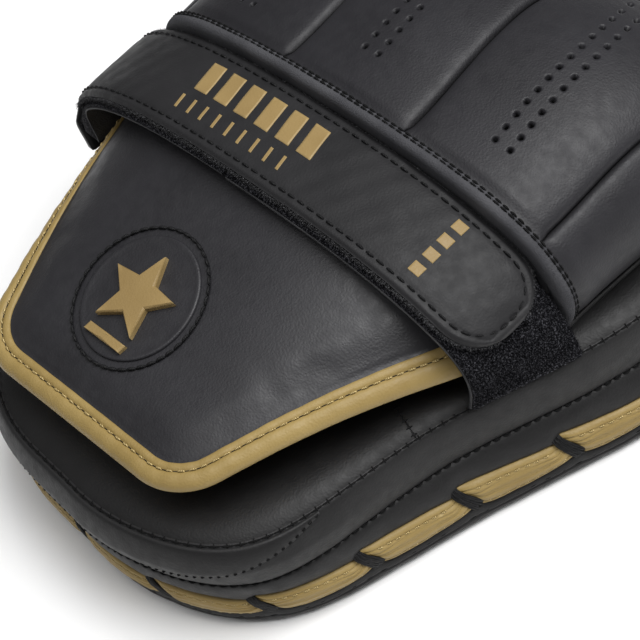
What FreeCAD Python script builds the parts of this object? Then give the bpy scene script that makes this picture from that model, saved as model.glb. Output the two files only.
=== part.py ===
import FreeCAD, Part
import math
import os

# Focus mitt for a left hand. Millimetres. The strike face lies on z = 0, +Z points to the
# back of the hand, +Y to the fingers and +X to the thumb. The origin is the middle of the
# pad on the plane of the strike face.

Vector = FreeCAD.Vector

# ---------------------------------------------------------------- pad outline
# Right-hand half of the strike face's edge, from the wrist end to the finger end.
# The left half is its mirror image.
PAD_EDGE = [
    (0, -124), (34, -120.5), (62, -103.5), (77, -73), (86, -45), (96, -18),
    (108, 15), (112, 47), (106, 81), (84, 110), (46, 123.5), (0, 127),
]
WRIST_BLEND = (-95.0, -55.0)    # the wall's section changes between these two values of y

# Wall sections: height, inset of the wall at the sides, and inset at the wrist end.
FACE_EDGE = (0.0, 0.0, 0.0)
FACE_SEAM = (2.0, 0.4, 0.1)
GOLD_LOW = (7.4, 1.2, 0.2)
GOLD_HIGH = (15.6, 3.0, -0.6)
STITCHED_LINE = (24.6, 7.0, -1.4)
WALL_BULGE = (33.0, 7.6, -1.4)
BACK_SEAM = (42.0, 8.5, 1.5)
WALL = [FACE_EDGE, FACE_SEAM, GOLD_LOW, GOLD_HIGH, STITCHED_LINE, WALL_BULGE, BACK_SEAM]
WALL_SKIN = 3.0                 # thickness of a padded wall band
FOAM_FIT = 3.2                  # inset of the foam blocks from the outer wall
LAYER_GAP = 0.05                # play between layers of the pad
TOOL_REACH = 400.0              # size of a cutting block that is larger than the mitt

# ---------------------------------------------------------------- pad layers
IMPACT_FOAM_TOP = 18.0
CORE_FOAM_TOP = 33.0
STIFFENER_TOP = 34.6
STIFFENER_INSET = 9.0
BACK_PANEL_TOP = 45.0
# Bevelled edge of the back panel: height above its base, and inset from the wall.
BACK_PANEL_EDGE = [(0.0, 0.3), (1.6, 1.0), (BACK_PANEL_TOP - BACK_SEAM[0] - LAYER_GAP, 6.0)]
HAND_LINING_TOP = 46.0
HAND_LINING_INSET = 34.0
CRESCENT_DEPTH = 1.6
CRESCENT_LOW = 26.0
CRESCENT_HIGH = 41.0
CRESCENT_END_Y = -58.0
PALM_CUSHION_CENTRE = (0.0, -14.0)
PALM_CUSHION_RADII = (38.0, 30.0, 9.0)
GRIP_BALL_CENTRE = (0.0, 38.0)
GRIP_BALL_RADII = (22.0, 17.0, 20.0)

# ---------------------------------------------------------------- rim lacing
LACING_COUNT = 22
LACING_PHASE = 0.85
LACING_RAISE = 1.5              # height of a strand's middle above the gold strip's middle
STRAND_RADIUS = 1.0
STRAND_CLEARANCE = 0.3          # gap between a strand and the gold strip
STRAND_LENGTH = 12.5
STRAND_PITCH = 2.3
STRAND_SLOPE = math.radians(56)

# ---------------------------------------------------------------- hood
HOOD_CENTRE_X = 4.5
HOOD_HEM_Y = 6.2
HOOD_LEAD = 4.0                 # the layers' bodies start this far in front of the hem
HOOD_BASE_Z = 45.2
# Stations along the hood: y, half-width and crown height.
HOOD_STATIONS = [
    (7.6, 90.0, 100.0), (40.0, 91.0, 100.5), (75.0, 87.0, 96.0),
    (97.0, 74.0, 84.0), (114.0, 48.0, 60.0),
]
# Half of the hood's section as shares of its half-width and height, from base to crown.
HOOD_SECTION = [(0.90, 0.0), (0.99, 0.22), (1.0, 0.46), (0.90, 0.72), (0.56, 0.93), (0.0, 1.0)]
HOOD_SKIN = 1.8
HOOD_FOAM = 4.4
HOOD_LINING = 1.0
HOOD_SEAM_X = [-74.5, -22.0, 31.0, 83.5]
HOOD_SEAM_WIDTH = 1.5
HEM_LIP = 2.6
HEM_THICKNESS = 0.8

# ---------------------------------------------------------------- straps
STRAP_CENTRE_Y = -10.9
STRAP_WIDTH = 33.4
STRAP_HALF_SPAN = 101.0
STRAP_BASE_Z = 43.0
STRAP_RISE = 52.0
STRAP_POWER = 2.5
STRAP_COVER_THICKNESS = 2.0
STRAP_TAPE_THICKNESS = 1.4
STRAP_ROOT_Z = 50.5
STRAP_SPLIT_X = 22.0
STRAP_TIP_X = 92.5
STRAP_SPLIT_GAP = 0.4
STRAP_TIP_RADIUS = 14.0
ARCH_STEPS = 14                 # spans between the points that a strap's arch goes through
LOOP_WIDTH = 34.0
LOOP_CENTRE_Y = -12.0
LOOP_HALF_SPAN = 97.0
LOOP_RISE = 48.0
LOOP_PILE_THICKNESS = 1.3
LOOP_WEB_THICKNESS = 1.3
LOOP_FREE_X = -8.0
TAB_TOP_Z = 49.5
TAB_INNER_X = 84.0              # where the sewn part of a strap's end starts
TAB_BEND = 2.0                  # bevel where a strap's end turns upwards
TAB_SEWN_THICKNESS = 1.8

# ---------------------------------------------------------------- cuff
CUFF_CENTRE_X = -1.5
# Right-hand half of the cuff's outline, from the hood to the wrist edge.
CUFF_EDGE = [(62, 24), (66, 7), (83.5, 2), (85.5, -22), (48, -112)]
CUFF_END_Y = 16.0
CUFF_CORNER_RADIUS = 24.0
# Stations along the cuff: y, crown height, drop at the reference half-width.
CUFF_STATIONS = [
    (26.0, 83.5, 27.5), (-12.0, 85.0, 28.0), (-45.0, 79.0, 25.0),
    (-80.0, 70.5, 15.0), (-118.0, 62.0, 3.0),
]
CUFF_REFERENCE_HALF_WIDTH = 85.0
CUFF_GRID_HALF_WIDTH = 93.0     # the surface reaches this far, past the cuff's edges
CUFF_GRID_STEPS = 6
CUFF_PRISM_HEIGHT = 150.0       # height of the upright prisms that trim the cuff
CUFF_ARCH_POWER = 3.0
CUFF_COVER_THICKNESS = 2.0
CUFF_FOAM_THICKNESS = 5.0
CUFF_LINING_THICKNESS = 1.2
CUFF_BINDING_WIDTH = 8.0
BADGE_CENTRE = (-8.0, -71.0)
BADGE_RADIUS = 23.8
BADGE_THICKNESS = 1.6
EMBLEM_RADIUS = 14.0
EMBLEM_INNER_RADIUS = 6.4
EMBLEM_THICKNESS = 1.8
STAR_POINTS = 5


def save(name, shape):
    shape.exportStep("parts/" + name + ".step")


# ---------------------------------------------------------------- pad helpers
def closed_edge():
    right = [Vector(x, y, 0) for x, y in PAD_EDGE]
    left = [Vector(-x, y, 0) for x, y in PAD_EDGE[-2:0:-1]]
    return right + left


def closed_spline(points):
    curve = Part.BSplineCurve()
    curve.interpolate(Points=points, PeriodicFlag=True)
    return curve


EDGE_POINTS = closed_edge()
EDGE_CURVE = closed_spline(EDGE_POINTS)


def outward(point):
    """Outward normal of the pad's edge at one of its points."""
    tangent = EDGE_CURVE.tangent(EDGE_CURVE.parameter(point))[0]
    normal = Vector(tangent.y, -tangent.x, 0)
    return normal.normalize()


def wrist_share(y):
    """1 at the wrist end, 0 along the sides, smooth between."""
    low, high = WRIST_BLEND
    t = min(max((high - y) / (high - low), 0.0), 1.0)
    return t * t * (3 - 2 * t)


def wall_inset(z, y):
    """Inset of the outer wall from the strike face's edge at a height."""
    z = min(z, BACK_SEAM[0])
    for below, above in zip(WALL, WALL[1:]):
        if z <= above[0]:
            t = (z - below[0]) / (above[0] - below[0])
            side = below[1] + t * (above[1] - below[1])
            wrist = below[2] + t * (above[2] - below[2])
            share = wrist_share(y)
            return side * (1 - share) + wrist * share


def wall_wire(z, extra):
    """The wall's outline at a height, moved inwards by a further amount."""
    moved = []
    for point in EDGE_POINTS:
        depth = wall_inset(z, point.y) + extra
        place = point - outward(point) * depth
        moved.append(Vector(place.x, place.y, z))
    return Part.Wire(closed_spline(moved).toShape())


def slab(low, high, extra):
    """Solid between two heights that follows the wall's slope."""
    levels = [low] + [band[0] for band in WALL if low < band[0] < high] + [high]
    return Part.makeLoft([wall_wire(z, extra) for z in levels], True, True)


def wall_band(low, high):
    return slab(low, high, 0.0).cut(slab(low, high, WALL_SKIN))


def dome(centre, radii, base):
    """Upper half of an ellipsoid that stands on a level."""
    scale = FreeCAD.Matrix()
    scale.scale(*radii)
    ball = Part.makeSphere(1.0).transformGeometry(scale)
    ball.translate(Vector(centre[0], centre[1], base))
    rx, ry, rz = radii
    box = Part.makeBox(2 * rx, 2 * ry, rz, Vector(centre[0] - rx, centre[1] - ry, base))
    return ball.common(box)


# ---------------------------------------------------------------- pad pieces
def make_pad_layers():
    save("strike_face_cover", slab(0.0, FACE_SEAM[0], 0.0))
    save("front_gusset", wall_band(FACE_SEAM[0], GOLD_LOW[0]))
    save("gold_rim_strip", wall_band(GOLD_LOW[0], GOLD_HIGH[0]))
    save("mid_gusset", wall_band(GOLD_HIGH[0], STITCHED_LINE[0]))
    save("rear_gusset", wall_band(STITCHED_LINE[0], BACK_SEAM[0]))
    save("impact_foam", slab(FACE_SEAM[0] + LAYER_GAP, IMPACT_FOAM_TOP, FOAM_FIT))
    save("core_foam", slab(IMPACT_FOAM_TOP + LAYER_GAP, CORE_FOAM_TOP, FOAM_FIT))
    save("stiffener_sheet", slab(CORE_FOAM_TOP + LAYER_GAP, STIFFENER_TOP, STIFFENER_INSET))
    save("rear_foam", slab(STIFFENER_TOP + LAYER_GAP, BACK_SEAM[0] - LAYER_GAP, FOAM_FIT))


def make_back_panel():
    """Padded panel with a bevelled edge, on top of the wall and the foam."""
    low = BACK_SEAM[0] + LAYER_GAP
    wires = [wall_wire(low + rise, inset) for rise, inset in BACK_PANEL_EDGE]
    save("back_panel", Part.makeLoft(wires, True, True))
    floor = BACK_PANEL_TOP + LAYER_GAP
    save("hand_lining", slab(floor, HAND_LINING_TOP, HAND_LINING_INSET))
    cushion_base = HAND_LINING_TOP + LAYER_GAP
    save("palm_cushion", dome(PALM_CUSHION_CENTRE, PALM_CUSHION_RADII, cushion_base))
    save("grip_ball", dome(GRIP_BALL_CENTRE, GRIP_BALL_RADII, cushion_base))


def make_wrist_end_panel():
    """Crescent panel on the wall at the wrist end."""
    outer = slab(CRESCENT_LOW, CRESCENT_HIGH, -CRESCENT_DEPTH)
    inner = slab(CRESCENT_LOW, CRESCENT_HIGH, -LAYER_GAP)
    corner = Vector(-TOOL_REACH / 2, CRESCENT_END_Y - TOOL_REACH, 0)
    keep = Part.makeBox(TOOL_REACH, TOOL_REACH, TOOL_REACH, corner)
    save("wrist_end_panel", outer.cut(inner).common(keep))


def lacing_strand(station, offset):
    """One slanting strand that lies on the gold strip."""
    middle = (GOLD_LOW[0] + GOLD_HIGH[0]) / 2 + LACING_RAISE
    u = EDGE_CURVE.parameterAtDistance(station, EDGE_CURVE.FirstParameter)
    point = EDGE_CURVE.value(u)
    tangent = Vector(EDGE_CURVE.tangent(u)[0])
    normal = Vector(tangent.y, -tangent.x, 0)
    shallow = min(wall_inset(GOLD_LOW[0], point.y), wall_inset(GOLD_HIGH[0], point.y))
    centre = point + normal * (STRAND_RADIUS + STRAND_CLEARANCE - shallow) + tangent * offset
    along = Vector(0, 0, math.sin(STRAND_SLOPE)) - tangent * math.cos(STRAND_SLOPE)
    start = Vector(centre.x, centre.y, middle) - along * (STRAND_LENGTH / 2)
    return Part.makeCylinder(STRAND_RADIUS, STRAND_LENGTH, start, along)


def make_rim_lacing():
    length = EDGE_CURVE.length()
    strands = []
    for index in range(LACING_COUNT):
        station = length * (index + LACING_PHASE) / LACING_COUNT
        strands.append(lacing_strand(station, -STRAND_PITCH / 2))
        strands.append(lacing_strand(station, STRAND_PITCH / 2))
    save("rim_lacing", Part.makeCompound(strands))


# ---------------------------------------------------------------- hood
def hood_wire(y, half_width, crown, inset):
    """Closed section of the hood: an arched line closed along its base."""
    width = half_width - inset
    height = crown - inset - HOOD_BASE_Z
    half = [(width * across, HOOD_BASE_Z + height * up) for across, up in HOOD_SECTION]
    right = [Vector(HOOD_CENTRE_X + x, y, z) for x, z in half]
    left = [Vector(HOOD_CENTRE_X - x, y, z) for x, z in half[-2::-1]]
    arch = Part.BSplineCurve()
    arch.interpolate(Points=right + left)
    base = Part.LineSegment(left[-1], right[0])
    return Part.Wire([arch.toShape(), base.toShape()])


def hood_body(inset, end_inset):
    """Solid inside the hood's surface at an inset. It starts in front of the hem."""
    stations = list(HOOD_STATIONS)
    first = stations[0]
    last = stations[-1]
    stations[0] = (HOOD_HEM_Y - HOOD_LEAD, first[1], first[2])
    stations[-1] = (last[0] - end_inset, last[1], last[2])
    wires = [hood_wire(y, half_width, crown, inset) for y, half_width, crown in stations]
    return Part.makeLoft(wires, True, False)


def between(shape, low, high):
    """The part of a shape between two values of y."""
    corner = Vector(-TOOL_REACH / 2, low, -TOOL_REACH / 2)
    return shape.common(Part.makeBox(TOOL_REACH, high - low, TOOL_REACH, corner))


def hood_layer(outer_inset, inner_inset):
    outer = hood_body(outer_inset, outer_inset)
    shell = outer.cut(hood_body(inner_inset, inner_inset))
    return between(shell, HOOD_STATIONS[0][0], HOOD_STATIONS[-1][0])


def make_hood():
    foam_in = HOOD_SKIN + HOOD_FOAM
    padding = hood_layer(HOOD_SKIN + LAYER_GAP, foam_in)
    front = HOOD_STATIONS[0][0]
    length = HOOD_STATIONS[-1][0] - front
    for x in HOOD_SEAM_X:
        corner = Vector(x - HOOD_SEAM_WIDTH / 2, front, 0)
        padding = padding.cut(Part.makeBox(HOOD_SEAM_WIDTH, length, TOOL_REACH, corner))
    save("hood_shell", hood_layer(0.0, HOOD_SKIN))
    save("hood_padding", padding)
    save("hood_lining", hood_layer(foam_in + LAYER_GAP, foam_in + HOOD_LINING))


def make_hood_hem():
    """Folded binding: a band across the layers' edges and a lip on the shell."""
    front = HOOD_STATIONS[0][0]
    total = HOOD_SKIN + HOOD_FOAM + HOOD_LINING
    outer = hood_body(-HEM_THICKNESS, 0.0)
    band = outer.cut(hood_body(total, 0.0))
    lip = outer.cut(hood_body(-LAYER_GAP, 0.0))
    band = between(band, HOOD_HEM_Y, front - LAYER_GAP)
    lip = between(lip, HOOD_HEM_Y + LAYER_GAP, front + HEM_LIP)
    save("hood_hem_binding", band.fuse(lip))


# ---------------------------------------------------------------- straps
def arch_point(angle, half_span, rise, side, y):
    """Point of the straps' arch. The angle is 0 at the base line and 90 degrees at the crown."""
    share = 2 / STRAP_POWER
    across = math.copysign(abs(math.cos(angle)) ** share, math.cos(angle))
    x = side * half_span * across
    return Vector(x, y, STRAP_BASE_Z + rise * math.sin(angle) ** share)


def angle_at_height(z, rise):
    return math.asin(((z - STRAP_BASE_Z) / rise) ** (STRAP_POWER / 2))


def angle_at_x(x, half_span, side):
    """Angle of the arch point at x, for a strap whose root is on the given side."""
    across = x / (half_span * side)
    return math.acos(math.copysign(abs(across) ** (STRAP_POWER / 2), across))


def arch_strip(half_span, rise, thickness, side, start, end, y_low, y_high):
    """Band that follows the arch, with its thickness measured inwards."""
    angles = [start + (end - start) * step / ARCH_STEPS for step in range(ARCH_STEPS + 1)]
    outer = [arch_point(a, half_span, rise, side, y_low) for a in angles]
    inner = [arch_point(a, half_span - thickness, rise - thickness, side, y_low) for a in angles]
    top = Part.BSplineCurve()
    top.interpolate(Points=outer)
    bottom = Part.BSplineCurve()
    bottom.interpolate(Points=inner)
    near = Part.LineSegment(outer[0], inner[0])
    far = Part.LineSegment(outer[-1], inner[-1])
    edges = Part.sortEdges([piece.toShape() for piece in (top, far, bottom, near)])[0]
    return Part.Face(Part.Wire(edges)).extrude(Vector(0, y_high - y_low, 0))


def free_end_mask(end, before, half_width, radius):
    """Prism of a tongue with rounded corners, square to the strip near its free end."""
    along = (end - before).normalize()
    across = Vector(0, 1, 0)
    normal = across.cross(along)
    reach = TOOL_REACH / 4

    def place(distance, offset):
        return end + along * distance + across * (offset - half_width) - normal * (reach / 2)

    wide = 2 * half_width
    cut = radius * (1 - math.sqrt(0.5))
    start = [place(-reach, wide), place(-reach, 0), place(-radius, 0)]
    first = Part.Arc(place(-radius, 0), place(-cut, cut), place(0, radius))
    second = Part.Arc(place(0, wide - radius), place(-cut, wide - cut), place(-radius, wide))
    straight = Part.makePolygon(start).Edges
    flat = Part.LineSegment(place(0, radius), place(0, wide - radius)).toShape()
    last = Part.LineSegment(place(-radius, wide), start[0]).toShape()
    wire = Part.Wire(straight + [first.toShape(), flat, second.toShape(), last])
    return Part.Face(wire).extrude(normal * reach)


def strap_layer(depth, thickness, mask):
    """One layer of the main strap: the part up to the split, and the free end."""
    y_low = STRAP_CENTRE_Y - STRAP_WIDTH / 2
    y_high = STRAP_CENTRE_Y + STRAP_WIDTH / 2
    span = STRAP_HALF_SPAN - depth
    rise = STRAP_RISE - depth
    root = angle_at_height(STRAP_ROOT_Z, STRAP_RISE)
    split = angle_at_x(STRAP_SPLIT_X, STRAP_HALF_SPAN, -1)
    beyond = split + STRAP_SPLIT_GAP / STRAP_HALF_SPAN
    tip = angle_at_x(STRAP_TIP_X, STRAP_HALF_SPAN, -1)
    main = arch_strip(span, rise, thickness, -1, root, split, y_low, y_high)
    end = arch_strip(span, rise, thickness, -1, beyond, tip, y_low, y_high)
    return main, end.common(mask)


def make_main_strap():
    tip = angle_at_x(STRAP_TIP_X, STRAP_HALF_SPAN, -1)
    corner_turn = STRAP_TIP_RADIUS / STRAP_HALF_SPAN
    tip_point = arch_point(tip, STRAP_HALF_SPAN, STRAP_RISE, -1, STRAP_CENTRE_Y)
    before_tip = arch_point(tip - corner_turn, STRAP_HALF_SPAN, STRAP_RISE, -1, STRAP_CENTRE_Y)
    mask = free_end_mask(tip_point, before_tip, STRAP_WIDTH / 2, STRAP_TIP_RADIUS)
    cover, cover_tip = strap_layer(0.0, STRAP_COVER_THICKNESS, mask)
    tape_depth = STRAP_COVER_THICKNESS + LAYER_GAP
    tape, tape_tip = strap_layer(tape_depth, STRAP_TAPE_THICKNESS, mask)
    save("strap_cover", cover)
    save("strap_tip_cover", cover_tip)
    save("strap_hook_tape", tape)
    save("strap_tip_hook_tape", tape_tip)


def make_loop_strap():
    y_low = LOOP_CENTRE_Y - LOOP_WIDTH / 2
    y_high = LOOP_CENTRE_Y + LOOP_WIDTH / 2
    root = angle_at_height(STRAP_ROOT_Z, LOOP_RISE)
    free = angle_at_x(LOOP_FREE_X, LOOP_HALF_SPAN, 1)
    pile = arch_strip(LOOP_HALF_SPAN, LOOP_RISE, LOOP_PILE_THICKNESS, 1, root, free, y_low, y_high)
    depth = LOOP_PILE_THICKNESS + LAYER_GAP
    span = LOOP_HALF_SPAN - depth
    rise = LOOP_RISE - depth
    web = arch_strip(span, rise, LOOP_WEB_THICKNESS, 1, root, free, y_low, y_high)
    save("loop_strap_pile", pile)
    save("loop_strap_web", web)


def root_tab(half_span, thickness, side, y_low, y_high):
    """Sewn end of a strap: it turns from the back seam up to the strap."""
    low = BACK_PANEL_TOP + LAYER_GAP
    inner = half_span - thickness
    section = [
        (TAB_INNER_X, low), (half_span - TAB_BEND, low),
        (half_span, low + TAB_BEND), (half_span, TAB_TOP_Z),
        (inner, TAB_TOP_Z), (inner, low + TAB_BEND + TAB_SEWN_THICKNESS / 2),
        (inner - TAB_SEWN_THICKNESS / 2, low + TAB_SEWN_THICKNESS), (TAB_INNER_X, low + TAB_SEWN_THICKNESS),
    ]
    points = [Vector(side * x, y_low, z) for x, z in section]
    face = Part.Face(Part.makePolygon(points + points[:1]))
    return face.extrude(Vector(0, y_high - y_low, 0))


def make_root_tabs():
    strap_total = STRAP_COVER_THICKNESS + STRAP_TAPE_THICKNESS
    y_low = STRAP_CENTRE_Y - STRAP_WIDTH / 2
    y_high = STRAP_CENTRE_Y + STRAP_WIDTH / 2
    save("strap_root_tab", root_tab(STRAP_HALF_SPAN, strap_total, -1, y_low, y_high))
    loop_total = LOOP_PILE_THICKNESS + LOOP_WEB_THICKNESS
    y_low = LOOP_CENTRE_Y - LOOP_WIDTH / 2
    y_high = LOOP_CENTRE_Y + LOOP_WIDTH / 2
    save("loop_strap_root_tab", root_tab(LOOP_HALF_SPAN, loop_total, 1, y_low, y_high))


# ---------------------------------------------------------------- cuff
def cuff_surface():
    """Arched face of the cuff: its crown falls towards the wrist and its sides fall away."""
    grid = []
    for y, crown, drop in CUFF_STATIONS:
        row = []
        for step in range(-CUFF_GRID_STEPS, CUFF_GRID_STEPS + 1):
            x = CUFF_GRID_HALF_WIDTH * step / CUFF_GRID_STEPS
            fall = drop * (abs(x) / CUFF_REFERENCE_HALF_WIDTH) ** CUFF_ARCH_POWER
            row.append(Vector(CUFF_CENTRE_X + x, y, crown - fall))
        grid.append(row)
    surface = Part.BSplineSurface()
    surface.interpolate(grid)
    return surface.toShape()


def cuff_outline():
    """Upright prism of the cuff's outline, with rounded wrist corners."""
    right = [Vector(CUFF_CENTRE_X + x, y, 0) for x, y in CUFF_EDGE]
    left = [Vector(CUFF_CENTRE_X - x, y, 0) for x, y in reversed(CUFF_EDGE)]
    points = right + left
    height = Vector(0, 0, CUFF_PRISM_HEIGHT)
    prism = Part.Face(Part.makePolygon(points + points[:1])).extrude(height)
    wrist_y = CUFF_EDGE[-1][1]
    corners = []
    for edge in prism.Edges:
        upright = abs(edge.Vertexes[0].Z - edge.Vertexes[-1].Z) > CUFF_PRISM_HEIGHT / 2
        if upright and abs(edge.CenterOfMass.y - wrist_y) < 1.0:
            corners.append(edge)
    return prism.makeFillet(CUFF_CORNER_RADIUS, corners)


def bottom_face(prism):
    return min(prism.Faces, key=lambda face: face.CenterOfMass.z)


def layer(surface, low, thickness):
    """Solid of even height that follows the cuff's surface, from an offset upwards."""
    face = surface.copy()
    face.translate(Vector(0, 0, low))
    return face.extrude(Vector(0, 0, thickness))


def star_prism(centre, outer, inner):
    points = []
    for index in range(2 * STAR_POINTS):
        radius = inner if index % 2 else outer
        angle = math.pi / 2 + index * math.pi / STAR_POINTS
        x = centre[0] + radius * math.cos(angle)
        points.append(Vector(x, centre[1] + radius * math.sin(angle), 0))
    height = Vector(0, 0, CUFF_PRISM_HEIGHT)
    return Part.Face(Part.makePolygon(points + points[:1])).extrude(height)


def make_cuff():
    surface = cuff_surface()
    whole = cuff_outline()
    height = Vector(0, 0, CUFF_PRISM_HEIGHT)
    field = bottom_face(whole).makeOffset2D(-CUFF_BINDING_WIDTH).extrude(height)
    corner = Vector(-TOOL_REACH / 2, CUFF_END_Y, 0)
    beyond = Part.makeBox(TOOL_REACH, TOOL_REACH, TOOL_REACH, corner)
    total = CUFF_COVER_THICKNESS + CUFF_FOAM_THICKNESS + CUFF_LINING_THICKNESS
    rim = whole.cut(field).cut(beyond)
    core = field.cut(beyond)
    foam_low = -CUFF_COVER_THICKNESS - CUFF_FOAM_THICKNESS + LAYER_GAP
    save("cuff_binding", layer(surface, -total, total).common(rim))
    save("cuff_cover", layer(surface, -CUFF_COVER_THICKNESS, CUFF_COVER_THICKNESS).common(core))
    save("cuff_padding", layer(surface, foam_low, CUFF_FOAM_THICKNESS - 2 * LAYER_GAP).common(core))
    save("cuff_lining", layer(surface, -total, CUFF_LINING_THICKNESS).common(core))
    disc = Part.makeCylinder(BADGE_RADIUS, CUFF_PRISM_HEIGHT, Vector(*BADGE_CENTRE, 0))
    star = star_prism(BADGE_CENTRE, EMBLEM_RADIUS, EMBLEM_INNER_RADIUS)
    emblem_low = BADGE_THICKNESS + 2 * LAYER_GAP
    save("badge_base", layer(surface, LAYER_GAP, BADGE_THICKNESS).common(disc))
    save("badge_emblem", layer(surface, emblem_low, EMBLEM_THICKNESS).common(star))


os.makedirs("parts", exist_ok=True)
make_pad_layers()
make_back_panel()
make_wrist_end_panel()
make_rim_lacing()
make_hood()
make_hood_hem()
make_main_strap()
make_loop_strap()
make_root_tabs()
make_cuff()
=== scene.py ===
import math
import bpy
import numpy as np
from mathutils import Matrix, Vector
from mathutils.bvhtree import BVHTree


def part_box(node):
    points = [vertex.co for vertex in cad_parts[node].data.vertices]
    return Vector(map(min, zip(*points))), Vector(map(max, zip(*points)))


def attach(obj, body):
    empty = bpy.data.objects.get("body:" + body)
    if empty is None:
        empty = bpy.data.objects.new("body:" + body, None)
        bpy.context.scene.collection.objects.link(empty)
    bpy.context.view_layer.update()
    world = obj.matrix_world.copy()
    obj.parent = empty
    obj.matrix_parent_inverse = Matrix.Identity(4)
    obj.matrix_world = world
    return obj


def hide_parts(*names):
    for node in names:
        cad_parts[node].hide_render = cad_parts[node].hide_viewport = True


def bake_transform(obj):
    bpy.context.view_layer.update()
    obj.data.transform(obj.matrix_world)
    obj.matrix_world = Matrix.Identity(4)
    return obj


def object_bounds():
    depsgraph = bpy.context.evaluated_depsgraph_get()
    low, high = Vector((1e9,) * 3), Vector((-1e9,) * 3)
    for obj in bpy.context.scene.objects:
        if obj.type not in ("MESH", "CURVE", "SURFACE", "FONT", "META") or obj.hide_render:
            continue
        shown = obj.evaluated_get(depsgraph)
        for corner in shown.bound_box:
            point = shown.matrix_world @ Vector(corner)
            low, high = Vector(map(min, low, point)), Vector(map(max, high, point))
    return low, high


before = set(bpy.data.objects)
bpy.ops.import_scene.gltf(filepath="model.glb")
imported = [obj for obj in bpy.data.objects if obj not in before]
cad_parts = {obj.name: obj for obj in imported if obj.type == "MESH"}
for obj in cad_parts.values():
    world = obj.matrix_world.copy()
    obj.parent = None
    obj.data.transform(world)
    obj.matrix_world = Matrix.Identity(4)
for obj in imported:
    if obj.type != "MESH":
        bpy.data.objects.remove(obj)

CAD_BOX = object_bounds()
MM = 0.001
RANDOM = np.random.default_rng(7)

# Camera and light
CAMERA_AZIMUTH = math.radians(65.23)
CAMERA_ELEVATION = math.radians(50.37)
CAMERA_ROLL = math.radians(-24.15)
CAMERA_DISTANCE = 0.792
CAMERA_LENS = 144.2
CAMERA_SENSOR = 36.0
CAMERA_AIM_SHARE = (0.584, 0.373, 0.403)

# Rim: heights of the seams come from the CAD bands
RIM_COUNT = 1500
LACING_COUNT = 22
LACING_PHASE = 0.85
LACING_SLOPE = math.radians(56)


# ------------------------------------------------------------------ small helpers
def smooth(x):
    x = np.clip(x, 0.0, 1.0)
    return x * x * (3 - 2 * x)


def bell(x, width):
    return np.exp(-(x / width) ** 2)


def unit(v):
    return v / np.maximum(np.linalg.norm(v, axis=-1, keepdims=True), 1e-12)


def box_of(node):
    low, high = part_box(node)
    return np.array(low), np.array(high)


def tree_of(*names):
    """Search tree over the surfaces of some CAD nodes."""
    points, faces = [], []
    for name in names:
        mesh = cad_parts[name].data
        base = len(points)
        points.extend(v.co.copy() for v in mesh.vertices)
        faces.extend([base + i for i in face.vertices] for face in mesh.polygons)
    return BVHTree.FromPolygons(points, faces)


def tree_of_object(piece):
    mesh = piece.data
    points = [piece.matrix_world @ v.co for v in mesh.vertices]
    return BVHTree.FromPolygons(points, [list(face.vertices) for face in mesh.polygons])


def drop(tree, x, y, top=0.2):
    """Height and upright normal of the first surface below a point."""
    hit, normal = tree.ray_cast(Vector((x, y, top)), Vector((0, 0, -1)))[:2]
    return (None, None) if hit is None else (hit.z, normal)


def make_object(name, points, faces, material):
    mesh = bpy.data.meshes.new(name)
    mesh.from_pydata(np.asarray(points, float).reshape(-1, 3).tolist(), [], faces)
    mesh.validate()
    mesh.materials.append(material)
    mesh.polygons.foreach_set("use_smooth", [True] * len(mesh.polygons))
    mesh.update()
    piece = bpy.data.objects.new(name, mesh)
    bpy.context.scene.collection.objects.link(piece)
    return piece


def grid_faces(rows, columns, wrap_rows=False, wrap_columns=False, start=0):
    """Quads of a grid whose points are stored row by row."""
    faces = []
    for r in range(rows if wrap_rows else rows - 1):
        a = start + r * columns
        b = start + ((r + 1) % rows) * columns
        for c in range(columns if wrap_columns else columns - 1):
            d = (c + 1) % columns
            faces.append((a + c, a + d, b + d, b + c))
    return faces


def grid_object(name, points, material, wrap_rows=False, wrap_columns=False):
    rows, columns = points.shape[:2]
    return make_object(name, points, grid_faces(rows, columns, wrap_rows, wrap_columns), material)


def grid_normals(points, wrap_columns=False):
    """Unit normals of a grid of points, from its neighbours."""
    if wrap_columns:
        across = np.roll(points, -1, 1) - np.roll(points, 1, 1)
    else:
        across = np.gradient(points, axis=1)
    along = np.gradient(points, axis=0)
    return unit(np.cross(across, along))


def lengths(path):
    steps = np.linalg.norm(np.diff(path, axis=0), axis=1)
    return np.concatenate([[0.0], np.cumsum(steps)])


def at_lengths(path, where):
    along = lengths(path)
    return np.stack([np.interp(where, along, path[:, k]) for k in range(path.shape[1])], axis=1)


def smoothed(path, passes):
    """Evens out a path in place and keeps its ends."""
    for _ in range(passes):
        path[1:-1] = (path[:-2] + 2 * path[1:-1] + path[2:]) / 4
    return path


def swept_faces(rows, columns):
    """Faces of a closed section, stored as rows, that runs along a line and is capped at both ends."""
    first = tuple(r * columns for r in range(rows))
    return grid_faces(rows, columns, wrap_rows=True) + [first[::-1], tuple(i + columns - 1 for i in first)]


def ring_faces(rings, around):
    """Faces of a stack of closed rings, capped at both ends."""
    caps = [tuple(range(around))[::-1], tuple(range((rings - 1) * around, rings * around))]
    return grid_faces(rings, around, wrap_columns=True) + caps


def repeated(faces, points, count):
    """The same faces for each of count bodies that have the same number of points."""
    return [tuple(points * index + i for i in face) for index in range(count) for face in faces]


def circle(count):
    return np.arange(count) * 2 * math.pi / count


def rings_round(line, side, up, thick, sides):
    """Rings of points round a line; side and up are square to the line."""
    turn = circle(sides)[:, None]
    out = np.cos(turn) * side[..., None, :] + np.sin(turn) * up[..., None, :]
    return line[..., None, :] + thick[..., None, None] * out


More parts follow.
